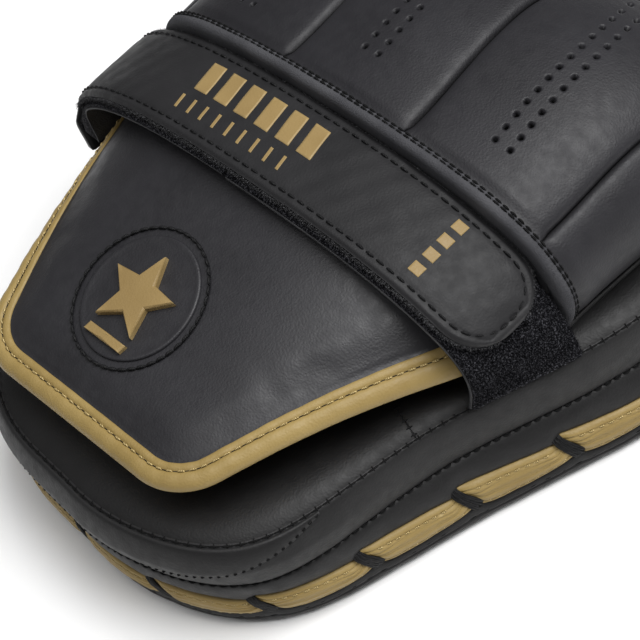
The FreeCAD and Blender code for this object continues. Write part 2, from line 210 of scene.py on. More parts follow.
def reach_over(tree, centre, angle, near, far, halvings):
    """How far a ray in plan stays over a surface."""
    ray = np.array([math.cos(angle), math.sin(angle)])
    for _ in range(halvings):
        middle = (near + far) / 2
        inside = drop(tree, *(centre + ray * middle))[0] is not None
        near, far = (middle, far) if inside else (near, middle)
    return near


def settle(body, slot, piece, *nodes, fill=None):
    """Puts a piece on its body and hides the CAD nodes that it stands for; its material slot is not used."""
    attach(piece, body)
    if nodes:
        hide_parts(*nodes)
    return piece


# ------------------------------------------------------------------ materials
class Nodes:
    """Short calls for building one material's node tree."""

    def __init__(self, name):
        self.material = bpy.data.materials.new(name)
        self.material.use_nodes = True
        self.tree = self.material.node_tree
        self.tree.nodes.clear()
        self.output = self.add("ShaderNodeOutputMaterial")
        self.shader = self.add("ShaderNodeBsdfPrincipled")
        self.link(self.shader.outputs[0], self.output.inputs["Surface"])
        self.place = self.add("ShaderNodeTexCoord").outputs["Object"]

    def add(self, kind, **values):
        node = self.tree.nodes.new(kind)
        for key, value in values.items():
            setattr(node, key, value)
        return node

    def link(self, a, b):
        self.tree.links.new(a, b)

    def noise(self, scale, detail=2.0, stretch=None):
        node = self.add("ShaderNodeTexNoise")
        node.inputs["Scale"].default_value = scale
        node.inputs["Detail"].default_value = detail
        self.link(self.stretched(stretch), node.inputs["Vector"])
        return node.outputs["Fac"]

    def cells(self, scale, feature="F1"):
        node = self.add("ShaderNodeTexVoronoi", feature=feature)
        node.inputs["Scale"].default_value = scale
        self.link(self.place, node.inputs["Vector"])
        return node.outputs["Distance"]

    def wave(self, scale, direction="X", distortion=0.0):
        node = self.add("ShaderNodeTexWave", bands_direction=direction)
        node.inputs["Scale"].default_value = scale
        node.inputs["Distortion"].default_value = distortion
        self.link(self.place, node.inputs["Vector"])
        return node.outputs["Fac"]

    def stretched(self, stretch):
        if stretch is None:
            return self.place
        node = self.add("ShaderNodeMapping")
        node.inputs["Scale"].default_value = stretch
        self.link(self.place, node.inputs["Vector"])
        return node.outputs["Vector"]

    def ranged(self, value, low, high, start=0.0, end=1.0):
        node = self.add("ShaderNodeMapRange")
        node.inputs["From Min"].default_value = start
        node.inputs["From Max"].default_value = end
        node.inputs["To Min"].default_value = low
        node.inputs["To Max"].default_value = high
        self.link(value, node.inputs["Value"])
        return node.outputs["Result"]

    def math(self, operation, a, b):
        node = self.add("ShaderNodeMath", operation=operation)
        for socket, value in zip(node.inputs, (a, b)):
            if isinstance(value, float):
                socket.default_value = value
            else:
                self.link(value, socket)
        return node.outputs[0]

    def mixed(self, factor, first, second):
        node = self.add("ShaderNodeMix", data_type="RGBA")
        self.link(factor, node.inputs["Factor"])
        for index, value in ((6, first), (7, second)):
            if isinstance(value, tuple):
                node.inputs[index].default_value = (*value, 1.0)
            else:
                self.link(value, node.inputs[index])
        return node.outputs[2]

    def attribute(self, name):
        return self.add("ShaderNodeAttribute", attribute_name=name).outputs["Fac"]

    def pointiness(self):
        return self.add("ShaderNodeNewGeometry").outputs["Pointiness"]

    def bump(self, height, distance, strength=1.0, after=None):
        node = self.add("ShaderNodeBump")
        node.inputs["Strength"].default_value = strength
        node.inputs["Distance"].default_value = distance
        self.link(height, node.inputs["Height"])
        if after is not None:
            self.link(after, node.inputs["Normal"])
        return node.outputs["Normal"]

    def finish(self, colour, roughness, normal, **values):
        self.link(colour, self.shader.inputs["Base Color"])
        self.link(roughness, self.shader.inputs["Roughness"])
        self.link(normal, self.shader.inputs["Normal"])
        for key, value in values.items():
            self.shader.inputs[key.replace("_", " ")].default_value = value
        return self.material


def leather(name, dark, light, wear, roughness=0.5, grain=0.00012, holes=False, specular=0.5):
    """Grained leather: fine pebbles, soft creases, blotchy colour and paler worn edges."""
    n = Nodes(name)
    pebbles = n.cells(1500.0, "SMOOTH_F1")
    fibres = n.noise(2600.0, 3.0)
    blotches = n.noise(38.0, 4.0)
    creases = n.noise(160.0, 5.0, (1.0, 0.45, 1.0))
    normal = n.bump(pebbles, grain, 0.55)
    normal = n.bump(fibres, grain * 0.6, 0.4, normal)
    normal = n.bump(creases, grain * 3.0, 0.25, normal)
    colour = n.mixed(n.ranged(blotches, 0.0, 1.0, 0.3, 0.7), dark, light)
    colour = n.mixed(n.ranged(n.pointiness(), 0.0, 0.7, 0.53, 0.62), colour, wear)
    # Painted shade: where the hole and seam mask is set, the colour goes near black, standing for the shade
    # inside the holes and pressed seams.
    if holes:
        colour = n.mixed(n.attribute("hole_and_seam_painted_shade"), colour, (0.002, 0.002, 0.002))
    rough = n.ranged(n.noise(300.0, 3.0), roughness - 0.06, roughness + 0.07, 0.3, 0.7)
    # Painted shade: the same mask turns the specular level down to zero in the holes and pressed seams,
    # taking out their reflections.
    if holes:
        n.link(n.ranged(n.attribute("hole_and_seam_painted_shade"), specular, 0.0), n.shader.inputs["Specular IOR Level"])
    return n.finish(colour, rough, normal, Specular_IOR_Level=specular)


def thread(name, dark, light, roughness=0.6):
    """Twisted sewing thread."""
    n = Nodes(name)
    twist = n.wave(900.0, "DIAGONAL", 1.5)
    colour = n.mixed(twist, dark, light)
    rough = n.ranged(n.noise(2000.0), roughness - 0.08, roughness + 0.08, 0.3, 0.7)
    return n.finish(colour, rough, n.bump(twist, 0.00012, 0.7), Specular_IOR_Level=0.2)


def fuzz(name, dark, light):
    """Loop or hook tape: a dense dark pile with pale specks."""
    n = Nodes(name)
    specks = n.cells(1300.0)
    strands = n.noise(1900.0, 4.0)
    colour = n.mixed(n.ranged(strands, 0.0, 1.0, 0.50, 0.72), dark, light)
    normal = n.bump(specks, 0.0006, 0.9)
    normal = n.bump(strands, 0.0005, 0.8, normal)
    rough = n.ranged(strands, 0.75, 0.95, 0.3, 0.7)
    return n.finish(colour, rough, normal, Specular_IOR_Level=0.06)


def ribbed(name, dark, light):
    """Grosgrain tape with a fine woven surface."""
    n = Nodes(name)
    weave = n.cells(2400.0)
    shade = n.noise(60.0, 3.0)
    colour = n.mixed(n.ranged(shade, 0.0, 1.0, 0.3, 0.7), dark, light)
    rough = n.ranged(n.noise(900.0), 0.62, 0.8, 0.3, 0.7)
    return n.finish(colour, rough, n.bump(weave, 0.0003, 0.6), Specular_IOR_Level=0.15)


def cloth(name, dark, light):
    """Knitted lining: crossing ribs and a soft sheen."""
    n = Nodes(name)
    warp = n.wave(1400.0, "X", 0.4)
    weft = n.wave(1400.0, "Y", 0.4)
    knit = n.math("MULTIPLY", warp, weft)
    colour = n.mixed(n.ranged(knit, 0.0, 1.0, 0.1, 0.7), dark, light)
    rough = n.ranged(n.noise(400.0), 0.8, 0.95, 0.3, 0.7)
    return n.finish(colour, rough, n.bump(knit, 0.0002, 0.7), Specular_IOR_Level=0.15)


def foam(name, dark, light, scale=900.0):
    n = Nodes(name)
    pores = n.cells(scale)
    colour = n.mixed(n.ranged(pores, 0.0, 1.0, 0.1, 0.5), dark, light)
    rough = n.ranged(n.noise(200.0), 0.85, 0.98, 0.3, 0.7)
    return n.finish(colour, rough, n.bump(pores, 0.0003, 0.8))


# Painted shade: black_leather's base colours are set darker than those of the hood, cuff and strap leathers,
# to stand for the shade on the wall, back panel and wrist crescent.
BLACK = leather("black_leather", (0.0078, 0.0075, 0.0078), (0.0118, 0.0115, 0.0119), (0.03, 0.03, 0.031),
                0.52, specular=0.32)
HOOD_BLACK = leather("hood_leather", (0.0115, 0.011, 0.0132), (0.0165, 0.016, 0.019),
                     (0.018, 0.0175, 0.0205), 0.5, holes=True, specular=0.33)
CUFF_BLACK = leather("cuff_leather", (0.0125, 0.012, 0.0142), (0.018, 0.0175, 0.0205),
                     (0.033, 0.032, 0.036), 0.48, specular=0.44)
STRAP_BLACK = leather("strap_leather", (0.012, 0.0118, 0.0128), (0.0175, 0.0172, 0.0185),
                      (0.03, 0.03, 0.031), 0.55, specular=0.26)
GOLD = leather("gold_leather", (0.25, 0.172, 0.056), (0.32, 0.228, 0.082),
               (0.42, 0.32, 0.14), 0.5, 0.00016, specular=0.35)
PRINT = leather("gold_emblem", (0.235, 0.158, 0.061), (0.29, 0.2, 0.08),
                (0.40, 0.29, 0.13), 0.45, specular=0.3)
THREAD = thread("black_thread", (0.003, 0.003, 0.0033), (0.011, 0.011, 0.012))
# Painted shade: seam_thread is a darker copy of black_thread, so the stitches in the rim's seams, the
# crescent and the hem read as lying in shade instead of catching light.
SEAM_THREAD = thread("seam_thread", (0.0015, 0.0015, 0.0016), (0.005, 0.005, 0.0053), 0.8)
GOLD_THREAD = thread("gold_thread", (0.12, 0.075, 0.02), (0.62, 0.48, 0.22), 0.45)
PILE = fuzz("loop_tape", (0.006, 0.006, 0.0075), (0.12, 0.12, 0.135))
HOOK = fuzz("hook_tape", (0.005, 0.005, 0.006), (0.06, 0.06, 0.065))
# Painted highlight: fringe_fibres are coloured far paler than the hook tape they stand out of, for the
# bright line that light draws along the strap's fuzzy edge.
FRINGE = fuzz("fringe_fibres", (0.05, 0.05, 0.053), (0.26, 0.26, 0.27))
RIBBED = ribbed("ribbed_binding", (0.046, 0.046, 0.051), (0.076, 0.076, 0.082))
SELVAGE = ribbed("selvage", (0.03, 0.03, 0.032), (0.08, 0.08, 0.084))
LINING = cloth("lining_fabric", (0.006, 0.006, 0.007), (0.022, 0.022, 0.024))
FOAM = foam("foam", (0.18, 0.18, 0.175), (0.32, 0.32, 0.31))
STIFFENER = foam("stiffener", (0.55, 0.54, 0.5), (0.66, 0.65, 0.61), 300.0)


# ------------------------------------------------------------------ stitches
STITCH_RINGS = 7
STITCH_SIDES = 6


def stitches(name, centres, directions, normals, length, radius, material, arch=0.6, sink=0.3):
    """One mesh of thread stitches: each rises out of the leather and dives back into it."""
    directions = unit(directions)
    side = unit(np.cross(normals, directions))
    up = unit(np.cross(directions, side))
    u = np.linspace(-1, 1, STITCH_RINGS)
    thick = radius * np.sqrt(np.maximum(1 - 0.8 * u**4, 0.05))
    lift = radius * (arch * 2 * (1 - u**2) - sink * 2 * u**4)
    turn = circle(STITCH_SIDES)
    ring_side = thick[:, None] * np.cos(turn)
    ring_up = thick[:, None] * np.sin(turn) + lift[:, None]
    along = np.repeat((u * length / 2)[:, None], STITCH_SIDES, axis=1)
    points = (centres[:, None, None, :]
              + along[None, :, :, None] * directions[:, None, None, :]
              + ring_side[None, :, :, None] * side[:, None, None, :]
              + ring_up[None, :, :, None] * up[:, None, None, :])
    body = ring_faces(STITCH_RINGS, STITCH_SIDES)
    return make_object(name, points, repeated(body, STITCH_RINGS * STITCH_SIDES, len(centres)), material)


def stitch_row(name, path, normals, pitch, length, radius, material, closed=False, cross=False, **shape):
    """Stitches at an even pitch along a path. cross turns them square to the path."""
    if closed:
        path = np.vstack([path, path[:1]])
        normals = np.vstack([normals, normals[:1]])
    total = lengths(path)[-1]
    count = max(1, int(round(total / pitch)))
    where = (np.arange(count) + 0.5) * total / count
    centres = at_lengths(path, where)
    ahead = at_lengths(path, np.minimum(where + pitch / 4, total))
    behind = at_lengths(path, np.maximum(where - pitch / 4, 0))
    directions = unit(ahead - behind)
    along = lengths(path)
    here = unit(np.stack([np.interp(where, along, normals[:, k]) for k in range(3)], axis=1))
    if cross:
        directions = unit(np.cross(here, directions))
    return stitches(name, centres, directions, here, length, radius, material, **shape)


# ------------------------------------------------------------------ rim of the pad
def seam_height(lower, upper):
    return (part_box(lower)[1].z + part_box(upper)[0].z) / 2


Z_FACE = seam_height("strike_face_cover", "front_gusset")
Z_GOLD_LOW = seam_height("front_gusset", "gold_rim_strip")
Z_GOLD_HIGH = seam_height("gold_rim_strip", "mid_gusset")
Z_STITCHED = seam_height("mid_gusset", "rear_gusset")
Z_BACK = seam_height("rear_gusset", "back_panel")
Z_GOLD = (Z_GOLD_LOW + Z_GOLD_HIGH) / 2
WALL_NODES = ("strike_face_cover", "front_gusset", "gold_rim_strip", "mid_gusset", "rear_gusset",
              "back_panel")
# How far outside the pad the rays start that find its outline, and then its wall at each height
OUTLINE_RAY = 0.3
WALL_RAY = 0.03


class Rim:
    """The pad's side wall: even stations round the pad, and the wall's offset at each height."""

    def __init__(self, count):
        tree = tree_of(*WALL_NODES)
        angles = np.linspace(-math.pi / 2, 1.5 * math.pi, 721)
        outline = []
        for angle in angles:
            direction = Vector((math.cos(angle), math.sin(angle), 0))
            hit = tree.ray_cast(Vector((0, 0, Z_GOLD)) + direction * OUTLINE_RAY, -direction)[0]
            outline.append((hit.x, hit.y))
        outline = np.array(outline)
        self.length = lengths(outline)[-1]
        self.s = np.arange(count) * self.length / count
        self.base = at_lengths(outline, self.s)
        tangent = unit(np.roll(self.base, -3, 0) - np.roll(self.base, 3, 0))
        self.normal = np.stack([tangent[:, 1], -tangent[:, 0]], axis=1)
        middle = (Z_STITCHED + Z_BACK) / 2
        edge = 0.1 * MM
        self.levels = np.array([edge, Z_FACE, Z_GOLD_LOW, Z_GOLD, Z_GOLD_HIGH, Z_STITCHED, middle,
                                Z_BACK - edge])
        self.offsets = np.array([[self.offset(tree, i, z) for i in range(count)] for z in self.levels])

    def offset(self, tree, index, z):
        normal = Vector((*self.normal[index], 0))
        start = Vector((*self.base[index], z)) + normal * WALL_RAY
        hit = tree.ray_cast(start, -normal)[0]
        return WALL_RAY - (start - hit).length

    def points(self, z, out):
        """Wall points at heights z, moved outwards; z and out are grids of rows by stations."""
        z = np.broadcast_to(z, out.shape)
        wall = np.empty(out.shape)
        for i in range(out.shape[1]):
            wall[:, i] = np.interp(z[:, i], self.levels, self.offsets[:, i])
        where = wall + out
        x = self.base[None, :, 0] + self.normal[None, :, 0] * where
        y = self.base[None, :, 1] + self.normal[None, :, 1] * where
        return np.stack([x, y, z], axis=2)

    def normals(self, tilt=0.0):
        flat = np.hstack([self.normal, np.full((len(self.s), 1), tilt)])
        return unit(flat)


RIM = Rim(RIM_COUNT)
PITCH = RIM.length / LACING_COUNT


def ripple(s, t, waves, seed):
    """Smooth unevenness that closes on itself round the pad."""
    random = np.random.default_rng(seed)
    total = np.zeros(np.broadcast(s, t).shape)
    for wave in waves:
        phase, tilt = random.uniform(0, 2 * math.pi, 2)
        total = total + np.sin(2 * math.pi * wave * s / RIM.length + phase + 2.2 * np.sin(tilt + 3 * t))
    return total / len(waves)


def segment_share(s, z):
    """0 just past a lacing, 1 just before the next one. The lacings slant across the strip."""
    slanted = s + (z - Z_GOLD) / math.tan(LACING_SLOPE)
    return (slanted / PITCH - LACING_PHASE) % 1.0


def saw(share, width=0.05):
    """Falls from 1 to 0 along a segment, with a steep smooth rise at its ends."""
    fall = 1 - share
    rise = smooth((share - (1 - width)) / width)
    start = smooth(share / width)
    return fall * start * (1 - rise) + 0.5 * ((1 - start) + rise)


def gold_edges():
    s = RIM.s
    top_share = segment_share(s, Z_GOLD_HIGH)
    low_share = segment_share(s, Z_GOLD_LOW)
    top = Z_GOLD_HIGH + (2.9 * (saw(top_share) - 0.5) + 0.1) * MM
    low = Z_GOLD_LOW - (1.3 * np.sin(math.pi * low_share) ** 0.8 + 1.0 * (saw(low_share) - 0.5)) * MM
    return low, top


BAND_THICKNESS = 2.2 * MM
FRONT_GROOVE = 0.42             # height share of the front gusset's stitched groove


def band(name, node, low, high, rows, relief, material=None, slot="black_leather"):
    """A closed strip of the wall between two seams, with a relief that pushes it outwards."""
    low = np.broadcast_to(low, RIM.s.shape)
    high = np.broadcast_to(high, RIM.s.shape)
    t = np.linspace(0, 1, rows)[:, None]
    out = relief(RIM.s[None, :], t)
    outer = RIM.points(low + (high - low) * t, out)
    inner_t = np.array([[1.0], [0.0]])
    inner = RIM.points(low + (high - low) * inner_t, np.full((2, len(RIM.s)), -BAND_THICKNESS))
    piece = grid_object(name, np.vstack([outer, inner]), material or BLACK, True, True)
    settle("pad", slot, piece, node)


def pillow(t, power=0.55):
    return np.maximum(1 - (2 * t - 1) ** 2, 0) ** power


def make_wall():
    gold_low, gold_top = gold_edges()

    def front_relief(s, t):
        groove = 0.5 * bell(t - FRONT_GROOVE, 0.05)
        return (0.9 * pillow(t) - 0.35 - groove + 0.12 * ripple(s, t, (23, 41, 67), 1)) * MM

    def middle_relief(s, t):
        return (1.5 * pillow(t, 0.6) - 0.8 + 0.16 * ripple(s, t, (19, 31, 53), 2)) * MM

    def rear_relief(s, t):
        wrinkle = 0.22 * ripple(s, t, (17, 29, 43, 61), 3)
        return (2.2 * pillow(t, 0.5) - 1.1 + wrinkle * pillow(t)) * MM

    band("front_gusset_leather", "front_gusset", Z_FACE - 0.6 * MM, gold_low, 18, front_relief)
    band("mid_gusset_leather", "mid_gusset", gold_top, Z_STITCHED, 18, middle_relief)
    band("rear_gusset_leather", "rear_gusset", Z_STITCHED, Z_BACK, 28, rear_relief)
    make_gold_roll(gold_low, gold_top)


GOLD_STITCH_ROWS = (0.20, 0.83)
GOLD_CREASES = ((0.42, 0.06), (0.60, -0.05), (0.72, 0.03))


def gold_relief(s, t):
    """Round roll, pinched flat under each lacing, with lengthwise creases between them."""
    z = Z_GOLD_LOW + (Z_GOLD_HIGH - Z_GOLD_LOW) * t
    share = segment_share(s, z)
    from_lacing = np.minimum(share, 1 - share) * PITCH
    pinch = 1 - 0.72 * bell(from_lacing, 3.2 * MM)
    relief = 2.5 * pillow(t, 0.5) * pinch - 0.5
    for row in GOLD_STITCH_ROWS:
        relief = relief - 0.45 * bell(t - row, 0.035)
    spread = np.sin(math.pi * share)
    for middle, bend in GOLD_CREASES:
        line = 0.5 + (middle - 0.5) * (0.45 + 0.55 * spread) + bend * spread
        deep = 0.42 * (1 - 0.75 * spread) + 0.1
        relief = relief - deep * bell(t - line, 0.028)
    return (relief + 0.1 * ripple(s, t, (37, 59, 83, 111), 4)) * MM


def make_gold_roll(low, top):
    band("gold_roll", "gold_rim_strip", low, top, 46, gold_relief, GOLD, "gold_leather")
    for number, row in enumerate(GOLD_STITCH_ROWS):
        share = segment_share(RIM.s, Z_GOLD_LOW + (Z_GOLD_HIGH - Z_GOLD_LOW) * row)
        t = np.array([[row]])
        path = RIM.points(low + (top - low) * row, gold_relief(RIM.s[None, :], t))[0]
        keep = np.minimum(share, 1 - share) * PITCH > 3.6 * MM
        rows = stitch_path(f"gold_topstitch_{number}", path, RIM.normals(0.3), keep, 3.3 * MM, 2.3 * MM,
                           0.26 * MM, GOLD_THREAD)
        settle("pad", "gold_leather", rows)


def stitch_path(name, path, normals, keep, pitch, length, radius, material):
    """Stitches along the closed rim path, only where keep is true."""
    total = lengths(np.vstack([path, path[:1]]))[-1]
    count = int(total / pitch)
    index = ((np.arange(count) + 0.5) * len(path) / count).astype(int)
    index = index[keep[index]]
    directions = path[(index + 2) % len(path)] - path[index - 2]
    return stitches(name, path[index], directions, normals[index], length, radius, material)


# Threads of one lacing bundle: place across the bundle and shift along it, in strand radii.
LACING_THREADS = ((-3.6, 0.6), (-2.2, -0.3), (-0.7, 0.4), (0.8, -0.4), (2.2, 0.3), (3.5, -0.5))
LACING_RADIUS = 0.46 * MM
LACING_REACH = 12.6 * MM
LACING_STEPS = 15
LACING_SIDES = 7


def make_lacing():
    """Bundles of thick thread that wrap diagonally over the gold roll."""
    points = []
    for bundle in range(LACING_COUNT):
        middle = (bundle + LACING_PHASE) * PITCH
        for across, shift in LACING_THREADS:
            line = lacing_thread(middle, across + RANDOM.uniform(-0.2, 0.2),
                                 shift + RANDOM.uniform(-0.5, 0.5))
            ahead = unit(np.gradient(line, axis=0))
            outward = unit(line * (1, 1, 0))
            side = unit(np.cross(ahead, outward))
            up = np.cross(side, ahead)
            thick = LACING_RADIUS * (1.0 + 0.12 * np.sin(np.arange(LACING_STEPS) * 1.9 + bundle + across))
            points.append(rings_round(line, side, up, thick, LACING_SIDES))
    faces = repeated(ring_faces(LACING_STEPS, LACING_SIDES), LACING_STEPS * LACING_SIDES, len(points))
    lacing = make_object("lacing_threads", np.array(points), faces, THREAD)
    settle("pad", "black_thread", lacing, "rim_lacing")


def lacing_thread(middle, across, shift):
    """Centre line of one thread over the roll, from its foot to its head."""
    u = np.linspace(-1, 1, LACING_STEPS)
    along = u * LACING_REACH / 2 + shift * LACING_RADIUS
    narrow = 1 - 0.28 * u
    sideways = across * LACING_RADIUS * 0.95 * narrow
    z = Z_GOLD + 0.6 * MM + along * math.sin(LACING_SLOPE) + sideways * math.cos(LACING_SLOPE)
    s = middle - along * math.cos(LACING_SLOPE) + sideways * math.sin(LACING_SLOPE)
    at = (s / RIM.length * RIM_COUNT) % RIM_COUNT
    index = at.astype(int)
    part = (at - index)[:, None]
    base = RIM.base[index] * (1 - part) + RIM.base[(index + 1) % RIM_COUNT] * part
    normal = unit(RIM.normal[index] * (1 - part) + RIM.normal[(index + 1) % RIM_COUNT] * part)
    wall = np.array([np.interp(z[k], RIM.levels, RIM.offsets[:, index[k]]) for k in range(LACING_STEPS)])
    out = wall + (1.25 * (1 - np.abs(u) ** 3) - 0.015 * across**2 - 1.2 * np.abs(u) ** 8) * MM
    return np.column_stack([base + normal * out[:, None], z])


def rim_line(z, out=0.0):
    height = np.broadcast_to(np.asarray(z, float), RIM.s.shape)[None, :]
    return RIM.points(height, np.full((1, RIM_COUNT), out))[0]


def make_rim_stitching():
    line = rim_line(Z_STITCHED, -0.35 * MM)
    row = stitch_row("gusset_seam_stitches", line, RIM.normals(0.25), 3.4 * MM, 2.7 * MM, 0.34 * MM,
                     SEAM_THREAD, closed=True)
    low = rim_line(Z_FACE + FRONT_GROOVE * (Z_GOLD_LOW - Z_FACE))
    lower = stitch_row("lower_gusset_stitches", low, RIM.normals(), 5.2 * MM, 3.6 * MM, 0.28 * MM,
                       SEAM_THREAD, closed=True)
    top = rim_line(Z_BACK - 0.2 * MM, -0.75 * MM)
    seam = stitch_row("back_seam_thread", top, RIM.normals(0.8), 4.1 * MM, 4.4 * MM, 0.34 * MM, SEAM_THREAD,
                      closed=True, arch=0.1)
    ticks = stitch_row("back_seam_stitches", top, RIM.normals(0.8), 4.1 * MM, 1.9 * MM, 0.2 * MM,
                       SEAM_THREAD, closed=True, cross=True, arch=0.7)
    for piece in (row, lower, seam, ticks):
        settle("pad", "black_thread", piece)


# Half of the crescent panel's length along the wall
CRESCENT_HALF = 92.0 * MM


def make_wrist_panel():
    """Crescent of leather on the wrist end, deepest in the middle, with a dotted seam below."""
    columns, rows = 360, 24
    s = np.linspace(-CRESCENT_HALF, CRESCENT_HALF, columns)
    low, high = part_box("wrist_end_panel")[0].z, Z_BACK - 0.5 * MM
    index = np.round(s / RIM.length * RIM_COUNT).astype(int) % RIM_COUNT
    curve = np.abs(s) / CRESCENT_HALF
    bottom = low + 1.0 * MM + (high - low - 1.5 * MM) * curve**2.4
    t = np.linspace(0, 1, rows)[:, None]
    rise = (1.5 * pillow(t, 0.6) - 0.1) * (1 - curve**6)[None, :] * MM + 0.45 * MM
    outer = arc_points(s, bottom + (high - bottom) * t, rise)
    inner = arc_points(s, bottom + (high - bottom) * t[::-1], np.full(rise.shape, -0.6 * MM))
    grid = np.vstack([outer, inner])
    faces = swept_faces(2 * rows, columns)
    faces[-2:] = [cap[::-1] for cap in faces[-2:]]
    panel = make_object("wrist_crescent_leather", grid, faces, BLACK)
    settle("pad", "black_leather", panel, "wrist_end_panel")
    path = arc_points(s, bottom[None, :] + 1.0 * MM, np.full((1, columns), 1.0 * MM))[0]
    normals = unit(np.column_stack([RIM.normal[index], np.full(columns, 0.2)]))
    dots = stitch_row("crescent_stitches", path, normals, 2.8 * MM, 1.4 * MM, 0.3 * MM, SEAM_THREAD)
    settle("pad", "black_thread", dots)


def arc_points(s, z, out):
    """Wall points at any stations; s is one row, z and out are grids."""
    z = np.broadcast_to(z, out.shape)
    at = (s / RIM.length * RIM_COUNT) % RIM_COUNT
    whole = np.arange(RIM_COUNT + 1)
    base = [np.interp(at, whole, np.append(RIM.base[:, k], RIM.base[0, k])) for k in range(2)]
    normal = [np.interp(at, whole, np.append(RIM.normal[:, k], RIM.normal[0, k])) for k in range(2)]
    index = np.round(at).astype(int) % RIM_COUNT
    wall = np.empty(out.shape)
    for c in range(out.shape[1]):
        wall[:, c] = np.interp(z[:, c], RIM.levels, RIM.offsets[:, index[c]])
    where = wall + out
    return np.stack([base[0] + normal[0] * where, base[1] + normal[1] * where, z], axis=2)


# ------------------------------------------------------------------ broad faces of the pad
RING_INSETS = (0.0, 0.4, 0.9, 1.6, 2.5, 3.6, 5.0, 7.0, 9.5, 12.5, 16.0, 20.0, 25.0, 31.0, 38.0, 46.0, 55.0,
               65.0, 76.0, 88.0, 98.0, 105.0)


def face_rings(edge, heights):
    """Rings from an outline towards the middle; heights gives z for inset and station."""
    mean = np.linalg.norm(edge[:, :2], axis=1).mean()
    rings = []
    for inset in RING_INSETS:
        share = 1 - inset * MM / mean
        ring = edge[:, :2] * share
        rings.append(np.column_stack([ring, heights(inset, ring)]))
    return np.array(rings)


def closed_face(name, top, bottom, material):
    """Closed piece from two stacks of rings, each with a middle point."""
    rings, count = top.shape[:2]
    points = np.vstack([top.reshape(-1, 3), bottom.reshape(-1, 3)])
    middle_top = np.array([[0, 0, top[-1, :, 2].mean()]])
    middle_low = np.array([[0, 0, bottom[-1, :, 2].mean()]])
    points = np.vstack([points, middle_top, middle_low])
    start = rings * count
    faces = grid_faces(rings, count, wrap_columns=True)
    faces += [face[::-1] for face in grid_faces(rings, count, wrap_columns=True, start=start)]
    last = (rings - 1) * count
    for c in range(count):
        d = (c + 1) % count
        faces.append((c, start + c, start + d, d))
        faces.append((last + c, last + d, len(points) - 2))
        faces.append((start + last + d, start + last + c, len(points) - 1))
    return make_object(name, points, faces, material)


def make_back_panel():
    """Padded back of the pad: a soft shoulder at the seam, then almost level."""
    edge = rim_line(Z_BACK, -0.9 * MM)[::3]
    top_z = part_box("back_panel")[1].z

    def height(inset, ring):
        angle = np.arctan2(ring[:, 1], ring[:, 0])
        uneven = 0.25 * np.sin(7 * angle + 1.0) + 0.2 * np.sin(11 * angle + 0.4)
        rise = 1 - math.exp(-inset / 4.5)
        return Z_BACK - 0.4 * MM + (top_z - Z_BACK + 0.5 * MM + uneven * MM * smooth(inset / 9)) * rise

    def floor(inset, ring):
        return np.full(len(ring), Z_BACK - 1.4 * MM)

    panel = closed_face("back_panel_leather", face_rings(edge, height), face_rings(edge, floor), BLACK)
    settle("pad", "black_leather", panel, "back_panel", fill=0.5)


def make_strike_face():
    """Punching face: rounded at its edge, with two pressed rings round its middle."""
    edge = rim_line(Z_FACE, -0.4 * MM)[::3]
    rings_at = (38.0, 62.0)

    def under(inset, ring):
        from_middle = np.linalg.norm(ring, axis=1) / MM
        groove = sum(bell(from_middle - radius, 2.0) for radius in rings_at)
        edge_rise = 1.6 * math.exp(-inset / 1.4)
        return (edge_rise + 0.35 * groove) * MM

    def above(inset, ring):
        return np.full(len(ring), Z_FACE)

    face = closed_face("strike_face_leather", face_rings(edge, above), face_rings(edge, under), BLACK)
    settle("pad", "black_leather", face, "strike_face_cover")


PANEL_SEAM_PLACE = (80.0 * MM, -47.0 * MM)
PANEL_SEAM_LENGTH = 12.0 * MM


def make_panel_seams():
    """Short cross-stitched seams that run in from the back seam beside the wrist."""
    tree = tree_of_object(bpy.data.objects["back_panel_leather"])
    edge = rim_line(Z_BACK)
    for name, side in (("thumb", 1), ("outer", -1)):
        place = (side * PANEL_SEAM_PLACE[0], PANEL_SEAM_PLACE[1])
        index = np.argmin(np.hypot(*(edge[:, :2] - place).T))
        inward = -RIM.normal[index][:2]
        path = []
        for step in np.linspace(1.0, 1.0 + PANEL_SEAM_LENGTH / MM, 30):
            x, y = edge[index, :2] + inward * step * MM
            path.append((x, y, (drop(tree, x, y)[0] or Z_BACK) + 0.12 * MM))
        path = np.array(path)
        up = np.tile([0.0, 0.0, 1.0], (len(path), 1))
        line = stitch_row(f"panel_seam_line_{name}", path, up, 3.0 * MM, 3.2 * MM, 0.3 * MM, THREAD,
                          arch=0.0)
        ticks = stitch_row(f"panel_seam_ticks_{name}", path, up, 2.6 * MM, 2.2 * MM, 0.26 * MM, THREAD,
                           cross=True)
        for piece in (line, ticks):
            settle("pad", "black_thread", piece)


# ------------------------------------------------------------------ padded pieces by simulation
def evaluated_mesh(piece):
    shown = piece.evaluated_get(bpy.context.evaluated_depsgraph_get())
    return bpy.data.meshes.new_from_object(shown)


def set_mesh(piece, mesh):
    """Swaps in a finished mesh and drops the modifiers that made it."""
    piece.modifiers.clear()
    old = piece.data
    piece.data = mesh
    bpy.data.meshes.remove(old)
    mesh.polygons.foreach_set("use_smooth", [True] * len(mesh.polygons))


def mesh_points(mesh):
    flat = np.zeros(len(mesh.vertices) * 3, np.float32)
    mesh.vertices.foreach_get("co", flat)
    return flat.reshape(-1, 3).astype(float)


def copy_of_nodes(name, nodes, material, shrink):
    points, faces = [], []
    for node in nodes:
        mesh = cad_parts[node].data
        base = len(points)
        points.extend(tuple(v.co - v.normal * shrink) for v in mesh.vertices)
        faces.extend([base + i for i in face.vertices] for face in mesh.polygons)
    return make_object(name, points, faces, material)


CLOTH_PRESSURE = 4.0
CLOTH_STEPS = 20


